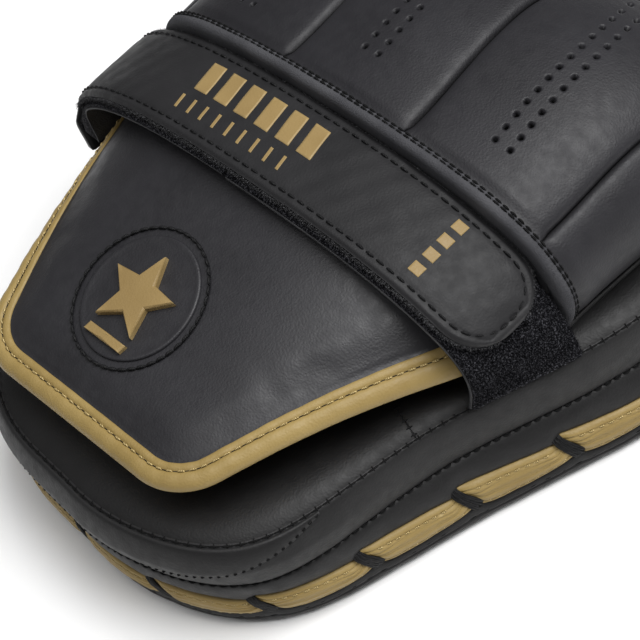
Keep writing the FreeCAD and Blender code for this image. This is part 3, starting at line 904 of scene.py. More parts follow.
def puffed(name, nodes, material, voxel, shrink, cap):
    """A soft piece blown up from the CAD solids: remeshed, simulated as cloth and held near its start."""
    piece = copy_of_nodes(name, nodes, material, shrink)
    remesh = piece.modifiers.new("remesh", "REMESH")
    remesh.mode = "VOXEL"
    remesh.voxel_size = voxel
    relax = piece.modifiers.new("relax", "SMOOTH")
    relax.iterations = 4
    set_mesh(piece, evaluated_mesh(piece))
    rest = mesh_points(piece.data)
    cloth_modifier = piece.modifiers.new("cloth", "CLOTH")
    settings = cloth_modifier.settings
    settings.use_pressure = True
    settings.uniform_pressure_force = CLOTH_PRESSURE
    settings.effector_weights.gravity = 0
    settings.tension_stiffness = 12
    settings.compression_stiffness = 6
    settings.bending_stiffness = 0.2
    for step in range(1, CLOTH_STEPS + 1):
        bpy.context.scene.frame_set(step)
    swollen = evaluated_mesh(piece)
    moved = mesh_points(swollen) - rest
    far = np.linalg.norm(moved, axis=1, keepdims=True)
    limit = cap(rest)[:, None] if callable(cap) else cap
    held = rest + moved * np.minimum(1, limit / np.maximum(far, 1e-9))
    set_mesh(piece, swollen)
    piece.data.vertices.foreach_set("co", held.astype(np.float32).ravel())
    bpy.context.scene.frame_set(1)
    finer = piece.modifiers.new("finer", "SUBSURF")
    finer.levels = 2
    set_mesh(piece, evaluated_mesh(piece))
    if not piece.data.materials:
        piece.data.materials.append(material)
    return piece


def line_underside(piece, material):
    """Gives the faces that look down a second material."""
    piece.data.materials.append(material)
    for face in piece.data.polygons:
        if face.normal.z < -0.35:
            face.material_index = 1


# ------------------------------------------------------------------ cuff
CUFF_TREE = tree_of("cuff_cover", "cuff_binding")
CUFF_COUNT = 640
BINDING_WIDTH = 8.0 * MM
# Closed section of the folded binding: inset from the outer edge, and height over the cuff's face (mm)
BINDING_SECTION = (
    (8.25, -1.6), (8.15, -0.5), (7.9, 0.1), (7.4, 0.38), (6.6, 0.5), (5.95, 0.42), (5.55, 0.12),
    (5.3, -0.02), (5.05, 0.14), (4.65, 0.52), (4.0, 0.72), (3.2, 0.7), (2.3, 0.5), (1.4, 0.05),
    (0.7, -0.55), (0.2, -1.3), (0.0, -2.1), (0.15, -2.9), (0.6, -3.6), (1.4, -4.2), (2.6, -4.7),
    (4.4, -5.3), (6.2, -6.0), (7.8, -6.8), (8.1, -6.0), (8.2, -3.5),
)
BINDING_STITCH = (5.3, 0.22)
CUFF_DROOP = 4.5 * MM           # how far the edge hangs lower on the little-finger side
CUFF_CLEARANCE = 7.6 * MM       # least height of the cuff's face over the pad


def cuff_outline():
    """Plan outline of the cuff, from its little-finger side round the wrist to its thumb side."""
    low, high = box_of("cuff_binding")
    centre = (low + high)[:2] / 2
    end = high[1] - 0.2 * MM
    outline = []
    for angle in np.linspace(math.radians(-230), math.radians(50), 720):
        far = reach_over(CUFF_TREE, centre, angle, 0.02, 0.14, 18)
        point = centre + np.array([math.cos(angle), math.sin(angle)]) * far
        if point[1] < end - 0.5 * MM:
            outline.append(point)
    outline = smoothed(np.array(outline), 6)
    return at_lengths(outline, np.linspace(0, lengths(outline)[-1], CUFF_COUNT))


class Cuff:
    """The cuff's outline with heights and normals of its face a little inside the edge."""

    def __init__(self):
        outline = cuff_outline()
        tangent = unit(np.gradient(outline, axis=0))
        inward = np.stack([-tangent[:, 1], tangent[:, 0]], axis=1)
        self.outline, self.inward = outline, inward
        self.insets = np.array([0.6, 2.5, 5.3, 8.2]) * MM
        rows = []
        for inset in self.insets:
            plan = outline + inward * inset
            rows.append([drop(CUFF_TREE, x, y)[0] or np.nan for x, y in plan])
        heights = np.array(rows)
        for row in heights:
            bad = np.isnan(row)
            row[bad] = np.interp(np.flatnonzero(bad), np.flatnonzero(~bad), row[~bad])
        kernel = np.ones(25) / 25
        for _ in range(2):
            heights = np.array([np.convolve(np.pad(row, 12, "edge"), kernel, "valid") for row in heights])
        x, y = outline.T
        droop = CUFF_DROOP * smooth((y + 105 * MM) / (60 * MM)) * smooth((-x - 35 * MM) / (25 * MM))
        lowered = heights - droop * (1 - self.insets / self.insets[-1])[:, None] ** 2
        self.heights = np.minimum(heights, np.maximum(lowered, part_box("back_panel")[1].z + CUFF_CLEARANCE))

    def surface(self, inset):
        z = np.array([np.interp(inset, self.insets, self.heights[:, i]) for i in range(CUFF_COUNT)])
        slope = (self.heights[1] - self.heights[0]) / (self.insets[1] - self.insets[0])
        z = z + np.minimum(inset - self.insets[0], 0) * slope
        return np.column_stack([self.outline + self.inward * inset, z])

    def nearest(self, points):
        """For each point: the closest place on the outline, and how far in it lies."""
        where = np.empty(len(points), int)
        inset = np.empty(len(points))
        for start in range(0, len(points), 4000):
            block = points[start:start + 4000, None, :2] - self.outline[None]
            gap = np.sum(block**2, axis=2)
            where[start:start + 4000] = np.argmin(gap, axis=1)
            inset[start:start + 4000] = np.sqrt(np.min(gap, axis=1))
        offset = points[:, :2] - self.outline[where]
        inset *= np.sign(np.sum(offset * self.inward[where], axis=1))
        return where, inset

    def tucked(self, points):
        """Keeps the pad's edge inside the fold of the binding."""
        where, inset = self.nearest(points)
        outside = np.clip(1.2 * MM - inset, 0, None)
        plan = points[:, :2] + self.inward[where] * outside[:, None]
        face = np.array([np.interp(max(inset[k], 1.2 * MM), self.insets, self.heights[:, i])
                         for k, i in enumerate(where)])
        share = np.clip(inset / BINDING_WIDTH, 0.15, 1)
        near = 1 - smooth((inset - 7.4 * MM) / (3 * MM))
        low, high = face - (1.6 + 3.6 * share) * MM, face - 0.25 * MM
        kept = np.clip(points[:, 2], low, high)
        z = points[:, 2] * (1 - near) + kept * near
        return np.column_stack([plan, z])

    def section(self, inset, height):
        """Points over the face: height is measured square to it."""
        here = self.surface(inset)
        ahead = self.surface(inset + 0.4 * MM)
        along = np.gradient(here, axis=0)
        normal = unit(np.cross(along, ahead - here))
        normal = np.where(normal[:, 2:3] < 0, -normal, normal)
        return here + normal * height, normal


def make_cuff():
    cuff = Cuff()

    def swelling(points):
        """The pad swells most away from the binding that pinches its edge."""
        inset = cuff.nearest(points)[1]
        return (0.2 + 2.2 * smooth((inset - 7.5 * MM) / (10 * MM))) * MM

    layers = ("cuff_cover", "cuff_padding", "cuff_lining", "cuff_binding")
    pad = puffed("cuff_pad", layers, CUFF_BLACK, 3.4 * MM, 0.4 * MM, swelling)
    pad.data.vertices.foreach_set("co", cuff.tucked(mesh_points(pad.data)).astype(np.float32).ravel())
    pad.data.update()
    line_underside(pad, LINING)
    settle("cuff", "cuff_leather", pad, "cuff_cover", "cuff_padding", "cuff_lining", fill=0.55)
    wobble = 0.10 * np.sin(np.arange(CUFF_COUNT) * 0.21) + 0.08 * np.sin(np.arange(CUFF_COUNT) * 0.53 + 1)
    rows = []
    for inset, height in BINDING_SECTION:
        uneven = wobble * (1 if 0 < height else 0.4)
        points, normal = cuff.section(inset * MM, height * MM)
        rows.append(points + normal * (uneven * MM)[:, None])
    binding = make_object("cuff_edge_binding", rows, swept_faces(len(rows), CUFF_COUNT), GOLD)
    settle("cuff", "gold_leather", binding, "cuff_binding")
    path, normal = cuff.section(BINDING_STITCH[0] * MM, BINDING_STITCH[1] * MM)
    gold = stitch_row("binding_stitches", path, normal, 3.7 * MM, 2.5 * MM, 0.3 * MM, GOLD_THREAD)
    dark = cuff.section(BINDING_STITCH[0] * MM, 0.14 * MM)[0]
    line = stitch_row("binding_stitch_line", dark, normal, 3.7 * MM, 4.4 * MM, 0.16 * MM, THREAD,
                      arch=0.0, sink=0.0)
    for piece in (gold, line):
        settle("cuff", "gold_leather", piece)
    make_badge(pad)


STAR_POINTS = 5
BADGE_PATCH_SHARE = 0.86
BADGE_SIDES = 144
BADGE_RING_SHARE = 0.97
STAR_INNER_SHARE = 0.46
# Section of the round patch: share of its radius, and rise over the pad (mm)
BADGE_SECTION = (
    (0.0, 0.75), (0.3, 0.76), (0.6, 0.78), (0.85, 0.8), (0.93, 0.86), (0.965, 1.0), (0.99, 0.86),
    (1.0, 0.45), (1.0, -1.2), (0.6, -1.4), (0.0, -1.4),
)


def make_badge(pad):
    """Round patch inside a ring of thick stitches, with a bevelled star and bar."""
    low, high = box_of("badge_base")
    centre = (low + high)[:2] / 2
    radius = (high[0] - low[0]) / 2
    tree = tree_of_object(pad)
    grid = np.linspace(-1, 1, 9) * radius
    samples = [(x, y, drop(tree, centre[0] + x, centre[1] + y)[0]) for x in grid for y in grid]
    samples = np.array([s for s in samples if s[2] is not None])
    x, y, z = samples.T
    terms = np.column_stack([np.ones_like(x), x, y, x * x, x * y, y * y])
    fit = np.linalg.lstsq(terms, z, rcond=None)[0]

    def place(x, y, rise):
        """Points at plan offsets from the badge's centre, at a rise over the pad."""
        base = fit[0] + fit[1] * x + fit[2] * y + fit[3] * x * x + fit[4] * x * y + fit[5] * y * y
        slope_x = fit[1] + 2 * fit[3] * x + fit[4] * y
        slope_y = fit[2] + fit[4] * x + 2 * fit[5] * y
        normal = unit(np.stack([-slope_x, -slope_y, np.ones_like(x)], axis=-1))
        foot = np.stack([centre[0] + x, centre[1] + y, base], axis=-1)
        return foot + normal * np.asarray(rise)[..., None], normal

    turn = circle(BADGE_SIDES)
    patch_radius = radius * BADGE_PATCH_SHARE
    rings = []
    for share, rise in BADGE_SECTION:
        r = max(share, 0.004) * patch_radius
        rings.append(place(r * np.cos(turn), r * np.sin(turn), np.full(BADGE_SIDES, rise * MM))[0])
    faces = [face[::-1] for face in ring_faces(len(rings), BADGE_SIDES)]
    patch = make_object("badge_patch", rings, faces, CUFF_BLACK)
    settle("cuff", "cuff_leather", patch, "badge_base")
    r = radius * BADGE_RING_SHARE
    path, normal = place(r * np.cos(turn), r * np.sin(turn), np.full(BADGE_SIDES, 0.25 * MM))
    ring = stitch_row("badge_stitches", path, normal, 3.3 * MM, 3.5 * MM, 0.52 * MM, THREAD, closed=True)
    settle("cuff", "black_thread", ring)
    make_emblem(place)


def make_emblem(place):
    low, high = box_of("badge_emblem")
    size = (high[0] - low[0]) / 2 / math.sin(math.radians(72))
    corners = []
    for index in range(2 * STAR_POINTS):
        r = size * (STAR_INNER_SHARE if index % 2 else 1.0)
        angle = math.pi / 2 + index * math.pi / STAR_POINTS
        corners.append((r * math.cos(angle), r * math.sin(angle)))
    star = bevelled_plate("emblem_star", np.array(corners), (0.0, 0.0), 2.5 * MM, place)
    bar_low = -size * 0.98
    bar = np.array([(-8.6, -1.7), (8.0, -1.7), (8.6, 1.1), (-8.0, 1.1)]) * MM + (0, bar_low - 1.3 * MM)
    plate = bevelled_plate("emblem_bar", bar, (0.0, bar_low - 1.5 * MM), 2.0 * MM, place)
    settle("cuff", "gold_emblem", star, "badge_emblem")
    settle("cuff", "gold_emblem", plate)


def bevelled_plate(name, corners, middle, height, place):
    """Raised plate of an outline with fine bevelled edges, set on the badge."""
    steps = 6
    outline = []
    for a, b in zip(corners, np.roll(corners, -1, 0)):
        outline += [a + (b - a) * k / steps for k in range(steps)]
    outline = np.array(outline)
    middle = np.array(middle)
    count = len(outline)
    away = np.linalg.norm(outline - middle, axis=1, keepdims=True)
    levels = ((1.0, -0.2 * MM), (1.0, height * 0.72), (1 - 0.25 * MM / away, height * 0.86),
              (1 - 0.75 * MM / away, height), (0.55, height), (0.12, height))
    rings = []
    for share, rise in levels:
        ring = middle + (outline - middle) * share
        rings.append(place(ring[:, 0], ring[:, 1], np.full(count, 0.75 * MM + rise))[0])
    plate = make_object(name, rings, ring_faces(len(rings), count), PRINT)
    plate.data.polygons.foreach_set("use_smooth", [False] * len(plate.data.polygons))
    return plate


# ------------------------------------------------------------------ straps
STRAP_STEP = 0.8 * MM


class Arch:
    """Centre line of a strap over the hand, from its root to its free end, with its normals."""

    def __init__(self, nodes, root_side):
        tree = tree_of(*nodes)
        lows, highs = zip(*(box_of(node) for node in nodes))
        low, high = np.min(lows, axis=0), np.max(highs, axis=0)
        self.y = (low[1] + high[1]) / 2
        self.half = (high[1] - low[1]) / 2
        foot = Vector((0, self.y, low[2] - 7 * MM))
        line = []
        for degrees in np.arange(0, 180, 0.4):
            angle = math.radians(degrees)
            ray = Vector((root_side * math.cos(angle), 0, math.sin(angle)))
            hit, normal = tree.ray_cast(foot + ray * 0.2, -ray)[:2]
            if hit is not None and normal.dot(ray) > 0.3:
                line.append((hit.x, hit.z))
        line = np.array(line)
        total = lengths(line)[-1]
        self.length = total
        self.a = np.linspace(0, total, int(total / STRAP_STEP))
        self.line = smoothed(at_lengths(line, self.a), 12)
        tangent = unit(np.gradient(self.line, axis=0))
        self.normal = np.stack([-tangent[:, 1], tangent[:, 0]], axis=1) * -root_side
        self.tangent = tangent

    def at(self, a, b, rise):
        """Point a along the strap, b across it from its middle, at a rise over its face."""
        a, b, rise = np.broadcast_arrays(a, b, rise)
        x, z = (np.interp(a, self.a, self.line[:, k]) for k in range(2))
        nx, nz = (np.interp(a, self.a, self.normal[:, k]) for k in range(2))
        beyond = np.maximum(a - self.a[-1], 0) + np.minimum(a, 0)
        tx = np.interp(a, self.a, self.tangent[:, 0])
        tz = np.interp(a, self.a, self.tangent[:, 1])
        return np.stack([x + nx * rise + tx * beyond, self.y + b, z + nz * rise + tz * beyond], axis=-1)

    def normals(self, a):
        nx, nz = (np.interp(a, self.a, self.normal[:, k]) for k in range(2))
        return unit(np.stack([nx, np.zeros_like(nx), nz], axis=-1))


def tongue(distance, half, reach, power=2.3):
    """Half-width of a strap at a distance from its rounded end."""
    inside = np.clip(1 - distance / reach, 0, 1)
    return half * np.maximum(1 - inside**power, 0) ** (1 / power)


STRAP = Arch(("strap_cover", "strap_tip_cover"), -1)
LOOP = Arch(("loop_strap_pile",), 1)
STRAP_TIP_REACH = 17.0 * MM
STITCH_MARGIN = 3.1 * MM
ROOT_JOIN = 15.0 * MM


# Where each strap's sewn end starts, as a distance along it from the start of its arch
STRAP_START = -6.2 * MM
LOOP_START = -6.6 * MM
# Rises of the hook tape's two faces under the leather, and of the loop strap's backing
HOOK_RISES = (-2.0 * MM, -3.2 * MM)
BACKING_RISES = (-1.3 * MM, -2.5 * MM)


def strap_sheet(name, arch, start, end, half, top, bottom, material, tip=False, columns=44, root=None,
                shift=0.0):
    """Closed strip on an arch; top and bottom give its rise from a, b and the distance to the edge."""
    count = max(8, int((end - start) / STRAP_STEP))
    a = np.linspace(start, end, count)
    if tip:
        ending = end - STRAP_TIP_REACH * (1 - np.linspace(0, 1, 34)) ** 2
        a = np.concatenate([a[a < ending[0] - 0.5 * MM], ending[:-1], [end - 0.02 * MM]])
    width = half * np.ones(len(a))
    if tip:
        width = np.maximum(tongue(end - a, half, STRAP_TIP_REACH), 0.3 * MM)
    v = np.sin(np.linspace(-math.pi / 2, math.pi / 2, columns))
    b = width[:, None] * v[None, :]
    edge = width[:, None] - np.abs(b)
    if tip:
        edge = np.minimum(edge, (end - a)[:, None] + 0 * b)
    upper = arch.at(a[:, None], b + shift, top(a[:, None], b, edge))
    lower = arch.at(a[:, None], b[:, ::-1] + shift, bottom(a[:, None], b[:, ::-1], edge[:, ::-1]))
    if root is not None:
        upper, lower = root(a, upper), root(a, lower)
    grid = np.concatenate([upper, lower], axis=1)
    return make_object(name, grid, ring_faces(*grid.shape[:2]), material)


def cover_top(a, b, edge):
    """Crowned leather with a pressed stitch line and rolled edges."""
    crown = 0.7 * smooth(edge / (9 * MM))
    groove = 0.38 * bell(edge - STITCH_MARGIN, 0.55 * MM)
    rolled = 0.95 * (1 - smooth(edge / (1.3 * MM)))
    uneven = 0.07 * np.sin(a * 310 + 2 * np.sin(b * 260)) + 0.05 * np.sin(a * 730 - b * 400)
    return (crown - groove - rolled + uneven) * MM


def cover_bottom(a, b, edge):
    return np.full(np.broadcast(a, b).shape, -2.0 * MM) + 0.5 * MM * (1 - smooth(edge / (1.0 * MM)))


def root_bottom(a, b, edge):
    """Underside of the leather where it folds round the strap's sewn end."""
    return cover_bottom(a, b, edge) - 1.8 * MM * (1 - smooth((a - 0.5 * MM) / (5 * MM)))


def pile_rise(depth, roughness):
    def rise(a, b, edge):
        coarse = np.sin(a * 5200 + 3 * np.sin(b * 3100)) * np.sin(b * 6100 + 2 * np.sin(a * 2700))
        fine = RANDOM.uniform(-1, 1, np.broadcast(a, b).shape)
        return depth + roughness * (0.5 * coarse + 0.6 * fine) - 0.6 * MM * (1 - smooth(edge / (0.9 * MM)))
    return rise


def root_fill(depth):
    """Underside that thickens towards the strap's sewn root."""
    def rise(a, b, edge):
        return depth - ROOT_FILL * (1 - smooth((a - 4 * MM) / (22 * MM))) + 0 * b
    return rise


def flat_rise(depth):
    def rise(a, b, edge):
        return np.full(np.broadcast(a, b).shape, depth)
    return rise


ROOT_FLARE = 2.6 * MM
ROOT_TUCK = 6.0 * MM
ROOT_FILL = 6.0 * MM


def strap_root(a, grid):
    """Spreads the strap's sewn end outward and towards the wrist."""
    share = 1 - smooth((a[:, None] - STRAP_START) / (20 * MM))
    wrist = smooth((STRAP.y + STRAP.half - grid[:, :, 1]) / (2 * STRAP.half))
    tuck = 1 - smooth((a[:, None] - STRAP_START) / (11 * MM))
    out = grid.copy()
    out[:, :, 0] += ROOT_TUCK * tuck - ROOT_FLARE * share * (0.4 + 0.6 * wrist)
    out[:, :, 1] -= ROOT_FLARE * share * wrist
    return out


def make_main_strap():
    end = STRAP.length
    shift = LOOP.y - STRAP.y
    top, bottom = HOOK_RISES
    root = strap_sheet("strap_root_leather", STRAP, STRAP_START, ROOT_JOIN, STRAP.half, cover_top,
                       root_bottom, STRAP_BLACK, root=strap_root)
    main = strap_sheet("strap_leather", STRAP, ROOT_JOIN, end, STRAP.half, cover_top, cover_bottom,
                       STRAP_BLACK, tip=True)
    root_tape = strap_sheet("strap_root_hook", STRAP, 1.0 * MM, ROOT_JOIN, STRAP.half - 0.4 * MM,
                            pile_rise(top, 0.12 * MM), pile_rise(bottom, 0.3 * MM), HOOK, columns=70,
                            root=strap_root)
    tape = strap_sheet("strap_hook_face", STRAP, ROOT_JOIN, end - 0.6 * MM, STRAP.half - 0.4 * MM,
                       pile_rise(top, 0.12 * MM), pile_rise(bottom, 0.3 * MM), HOOK, tip=True, columns=70)
    make_edge_fuzz(end)
    strap_stitching(end)
    lining_end = at_x(STRAP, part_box("loop_strap_pile")[0].x - 0.8 * MM)
    lining = strap_sheet("strap_pile_lining", STRAP, 2.0 * MM, lining_end, LOOP.half,
                         pile_rise(-3.7 * MM, 0.2 * MM), root_fill(-4.8 * MM), PILE, columns=90, shift=shift)
    edging = strap_sheet("strap_lining_selvage", STRAP, 2.2 * MM, lining_end - 0.3 * MM,
                         LOOP.half + 0.1 * MM, root_fill(-4.7 * MM), root_fill(-5.3 * MM), SELVAGE,
                         shift=shift)
    for piece in (root, root_tape):
        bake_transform(piece)
    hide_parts("strap_root_tab")
    for name in ("strap_leather", "strap_hook_face", "strap_edge_fuzz", "strap_stitches"):
        piece = bpy.data.objects[name]
        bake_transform(piece)
    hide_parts("strap_cover", "strap_tip_cover")
    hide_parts("strap_hook_tape", "strap_tip_hook_tape")
    for piece in (lining, edging):
        settle("strap", "loop_tape", piece)
    make_prints()


def at_x(arch, x):
    """Distance along an arch where it reaches x."""
    order = np.argsort(arch.line[:, 0])
    return float(np.interp(x, arch.line[order, 0], arch.a[order]))


def strap_stitching(end):
    """One row that runs up one edge, round the tip and back."""
    inner = STRAP.half - STITCH_MARGIN
    turn_reach = STRAP_TIP_REACH - STITCH_MARGIN
    a = np.arange(2 * MM, end - STRAP_TIP_REACH, STRAP_STEP)
    turn = end - STITCH_MARGIN - turn_reach * (1 - np.linspace(0, 1, 60)) ** 2
    a = np.concatenate([a, turn])
    b = np.where(a > end - STRAP_TIP_REACH, tongue(end - STITCH_MARGIN - a, inner, turn_reach), inner)
    a, b = np.concatenate([a, a[::-1]]), np.concatenate([b, -b[::-1]])
    path = STRAP.at(a, b, 0.12 * MM)
    row = stitch_row("strap_stitches", path, STRAP.normals(a), 4.1 * MM, 3.1 * MM, 0.33 * MM, THREAD)


FUZZ_HAIRS = 9000
FUZZ_RISE = -1.9 * MM


def make_edge_fuzz(end):
    """Short curved hairs that stand out of the hook tape's edges."""
    a = RANDOM.uniform(ROOT_JOIN, end - 0.5 * MM, FUZZ_HAIRS)
    width = np.where(a > end - STRAP_TIP_REACH, tongue(end - a, STRAP.half, STRAP_TIP_REACH), STRAP.half)
    side = RANDOM.choice([-1.0, 1.0], FUZZ_HAIRS)
    b = side * (width - RANDOM.uniform(0.0, 0.5, FUZZ_HAIRS) * MM)
    feet = STRAP.at(a, b, FUZZ_RISE + RANDOM.uniform(-0.9, 0.7, FUZZ_HAIRS) * MM)
    zero = np.zeros(FUZZ_HAIRS)
    out = np.stack([zero, side, zero], axis=1)
    past = np.clip(1 - (end - a) / STRAP_TIP_REACH, 0, 1)[:, None]
    tx, tz = (np.interp(a, STRAP.a, STRAP.tangent[:, k]) for k in range(2))
    out = unit(out * (1 - 0.8 * past) + np.stack([tx, zero, tz], axis=1) * past)
    fibres("strap_edge_fuzz", feet, out, STRAP.normals(a), 1.5 * MM, FRINGE, 0.07 * MM)


def fibres(name, feet, out, lift, length, material, radius):
    """One mesh of tiny three-sided hairs."""
    count = len(feet)
    wild = RANDOM.normal(0, 0.45, (count, 3))
    first = unit(out + wild)
    curl = unit(first + lift * RANDOM.uniform(-0.6, 0.9, (count, 1)) + RANDOM.normal(0, 0.5, (count, 3)))
    long = length * RANDOM.uniform(0.5, 1.3, (count, 1))
    knee = feet + first * long * 0.5
    line = np.stack([feet - first * long * 0.25, knee, knee + curl * long * 0.5], axis=1)
    side = unit(np.cross(first, lift + 0.01))
    up = np.cross(side, first)
    thick = np.array([1.0, 0.9, 0.35]) * radius
    rings = rings_round(line, side[:, None], up[:, None], thick, 3)
    return make_object(name, rings, repeated(ring_faces(3, 3), 9, count), material)


# Printed marks on the strap: generic slanted stripes. Each row gives where a stripe starts along the
# strap from the print's start, its width, and its lower and upper place across the strap (mm).
HEAVY_STRIPES = tuple((13.0 + 9.6 * k, 6.2, -1.2, 10.0) for k in range(6))
LIGHT_STRIPES = tuple((12.5 + 6.0 * k, 1.1, -9.6, -4.4) for k in range(9))
SMALL_BLOCKS = tuple((0.0, 4.2, -9.9 + 6.0 * k, -6.3 + 6.0 * k) for k in range(4))
STRIPE_SLANT = -0.2


def make_prints():
    heavy_start = at_x(STRAP, -52 * MM)
    small_start = at_x(STRAP, 63 * MM)
    stripes = [(heavy_start, row, STRIPE_SLANT) for row in HEAVY_STRIPES + LIGHT_STRIPES]
    blocks = [(small_start, row, 0.0) for row in SMALL_BLOCKS]
    for name, marks, body in (("strap_print", stripes, "strap"), ("strap_tip_print", blocks, "strap_tip")):
        points, faces = [], []
        for start, (along, width, low, high), slant in marks:
            add_mark(points, faces, start + along * MM, width * MM, low * MM, high * MM, slant)
        settle(body, "gold_emblem", make_object(name, np.concatenate(points), faces, PRINT))


def add_mark(points, faces, start, width, low, high, slant):
    """A thin raised parallelogram draped on the strap."""
    rows, columns = 13, 9
    b = np.linspace(low, high, rows)[:, None]
    a = start + np.linspace(0, width, columns)[None, :] + slant * (b - low)
    face = cover_top(a, b, STRAP.half - np.abs(b) + 0 * a)
    upper = STRAP.at(a, b, face + 0.16 * MM)
    lower = STRAP.at(a, b, face - 0.25 * MM)
    base = sum(len(block) for block in points)
    top = grid_faces(rows, columns, start=base)
    under = [quad[::-1] for quad in grid_faces(rows, columns, start=base + rows * columns)]
    rim = [r * columns for r in range(rows)] + [(rows - 1) * columns + c for c in range(1, columns)]
    rim += [r * columns + columns - 1 for r in range(rows - 2, -1, -1)] + list(range(columns - 2, 0, -1))
    deep = base + rows * columns
    side = [(base + i, base + j, deep + j, deep + i) for i, j in zip(rim, rim[1:] + rim[:1])]
    faces += top + under + side
    points.append(np.concatenate([upper.reshape(-1, 3), lower.reshape(-1, 3)]))


def loop_root(a, grid):
    """Draws the strap's sewn end in to the pad's slanting back seam."""
    share = (1 - np.clip((a + 7 * MM) / (36 * MM), 0, 1)) ** 1.5
    seam = rim_line(Z_BACK)
    thumb = seam[seam[:, 0] > 0]
    thumb = thumb[np.argsort(thumb[:, 1])]
    seam_x = np.interp(grid[:, :, 1], thumb[:, 1], thumb[:, 0]) + 1.2 * MM
    out = grid.copy()
    target = seam_x + (grid[:, :, 0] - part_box("loop_strap_pile")[1].x)
    out[:, :, 0] = grid[:, :, 0] * (1 - share[:, None]) + np.minimum(target, grid[:, :, 0]) * share[:, None]
    return out


def make_loop_strap():
    top, bottom = (flat_rise(depth) for depth in BACKING_RISES)
    pile = strap_sheet("loop_strap_pile_face", LOOP, LOOP_START, LOOP.length, LOOP.half,
                       pile_rise(0.0, 0.22 * MM), top, PILE, columns=110, root=loop_root)
    web = strap_sheet("loop_strap_backing", LOOP, LOOP_START, LOOP.length, LOOP.half + 0.2 * MM, top, bottom,
                      SELVAGE, root=loop_root)
    hairs = pile_hairs()
    for piece in (pile, web, hairs):
        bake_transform(piece)
    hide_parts("loop_strap_pile", "loop_strap_root_tab")
    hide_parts("loop_strap_web")


PILE_HAIRS = 14000
PILE_OPEN_LENGTH = 62.0 * MM


def pile_hairs():
    """Loose loops that stand out of the part of the pile that the main strap leaves open."""
    a = RANDOM.uniform(-5 * MM, PILE_OPEN_LENGTH, PILE_HAIRS)
    b = RANDOM.uniform(-1, 1, PILE_HAIRS) * LOOP.half
    feet = loop_root(a, LOOP.at(a, b, 0.0)[:, None, :])[:, 0]
    lift = LOOP.normals(a)
    return fibres("loop_pile_hairs", feet, lift, np.cross(lift, (0.0, 1.0, 0.0)), 0.9 * MM, PILE, 0.06 * MM)


# ------------------------------------------------------------------ hood
HOOD_LOW, HOOD_HIGH = box_of("hood_shell")
HOOD_MIDDLE = (HOOD_LOW[0] + HOOD_HIGH[0]) / 2
HOOD_BASE = HOOD_LOW[2]
# Places of the seams across the hood, near its hem and at its far end
SEAM_Y = np.array([20.0, 70.0]) * MM
SEAM_OFFSETS = np.array([(-79.0, -23.8, 29.3, 81.5), (-79.0, -26.0, 24.7, 81.5)]) * MM
SEAM_LIMIT = 0.905
CHANNELS = 3
HOLE_ROWS_START = np.array([21.0, 26.4, 24.4]) * MM
HOLE_SHIFT = np.array([0.0, -1.7, -0.4]) * MM
HOLE_DRIFT = -0.03
HOLE_ROWS_END = 104.0 * MM
HOLE_PITCH = 5.05 * MM
HOLE_SPREAD = 2.9 * MM
HOLE_RADIUS = 0.88 * MM
HOLE_DEPTH = 1.8 * MM


def hood_section(tree, y, outside=True):
    """Section of the hood at y, from its little-finger side over the top to its thumb side."""
    foot = Vector((HOOD_MIDDLE, y, HOOD_BASE + 0.25 * MM))
    points = []
    for angle in np.linspace(math.pi, 0, 241):
        ray = Vector((math.cos(angle), 0, math.sin(angle)))
        hit = tree.ray_cast(foot + ray * 0.2, -ray)[0] if outside else tree.ray_cast(foot, ray)[0]
        if hit is not None:
            points.append((hit.x, hit.z))
    return smoothed(np.array(points), 3)


def section_stations(section, y):
    """Lengths along a section of its two ends and of the four seams between."""
    along = lengths(section)
    half = (section[:, 0].max() - section[:, 0].min()) / 2
    offsets = [np.interp(y, SEAM_Y, column) for column in SEAM_OFFSETS.T]
    offsets = np.clip(offsets, -SEAM_LIMIT * half, SEAM_LIMIT * half)
    upper = section[:, 1] > HOOD_BASE + 0.55 * (section[:, 1].max() - HOOD_BASE)
    seams = np.interp(HOOD_MIDDLE + offsets, section[upper, 0], along[upper])
    return np.concatenate([[0.0], seams, [along[-1]]])


def channel_columns(dense):
    """Column places as (panel, share of the panel, distance from its middle line)."""
    columns = []
    for panel in range(CHANNELS + 2):
        ease = (1 - np.cos(np.linspace(0, math.pi, 27))) / 2
        if dense and 0 < panel <= CHANNELS:
            fine = np.arange(-7.0, 5.61, 0.42) * MM
            columns += [(panel, f, fine[0]) for f in ease[ease < 0.5] * 2 if f < 0.97]
            columns += [(panel, -1.0, d) for d in fine]
            columns += [(panel, f, fine[-1]) for f in ease[ease >= 0.5] * 2 - 1 if f > 0.03]
        else:
            columns += [(panel, f, 0.0) for f in (ease if dense else ease[::2])]
    return columns


def column_lengths(stations, columns):
    where, distance = [], []
    for panel, share, offset in columns:
        low, high = stations[panel], stations[panel + 1]
        middle = (low + high) / 2
        if share < 0:
            value = middle + offset
        elif offset < 0:
            value = low + (middle + offset - low) * share
        elif offset > 0:
            value = middle + offset + (high - middle - offset) * share
        else:
            value = low + (high - low) * share
        where.append(value)
        distance.append(value - middle)
    return np.array(where), np.array(distance)


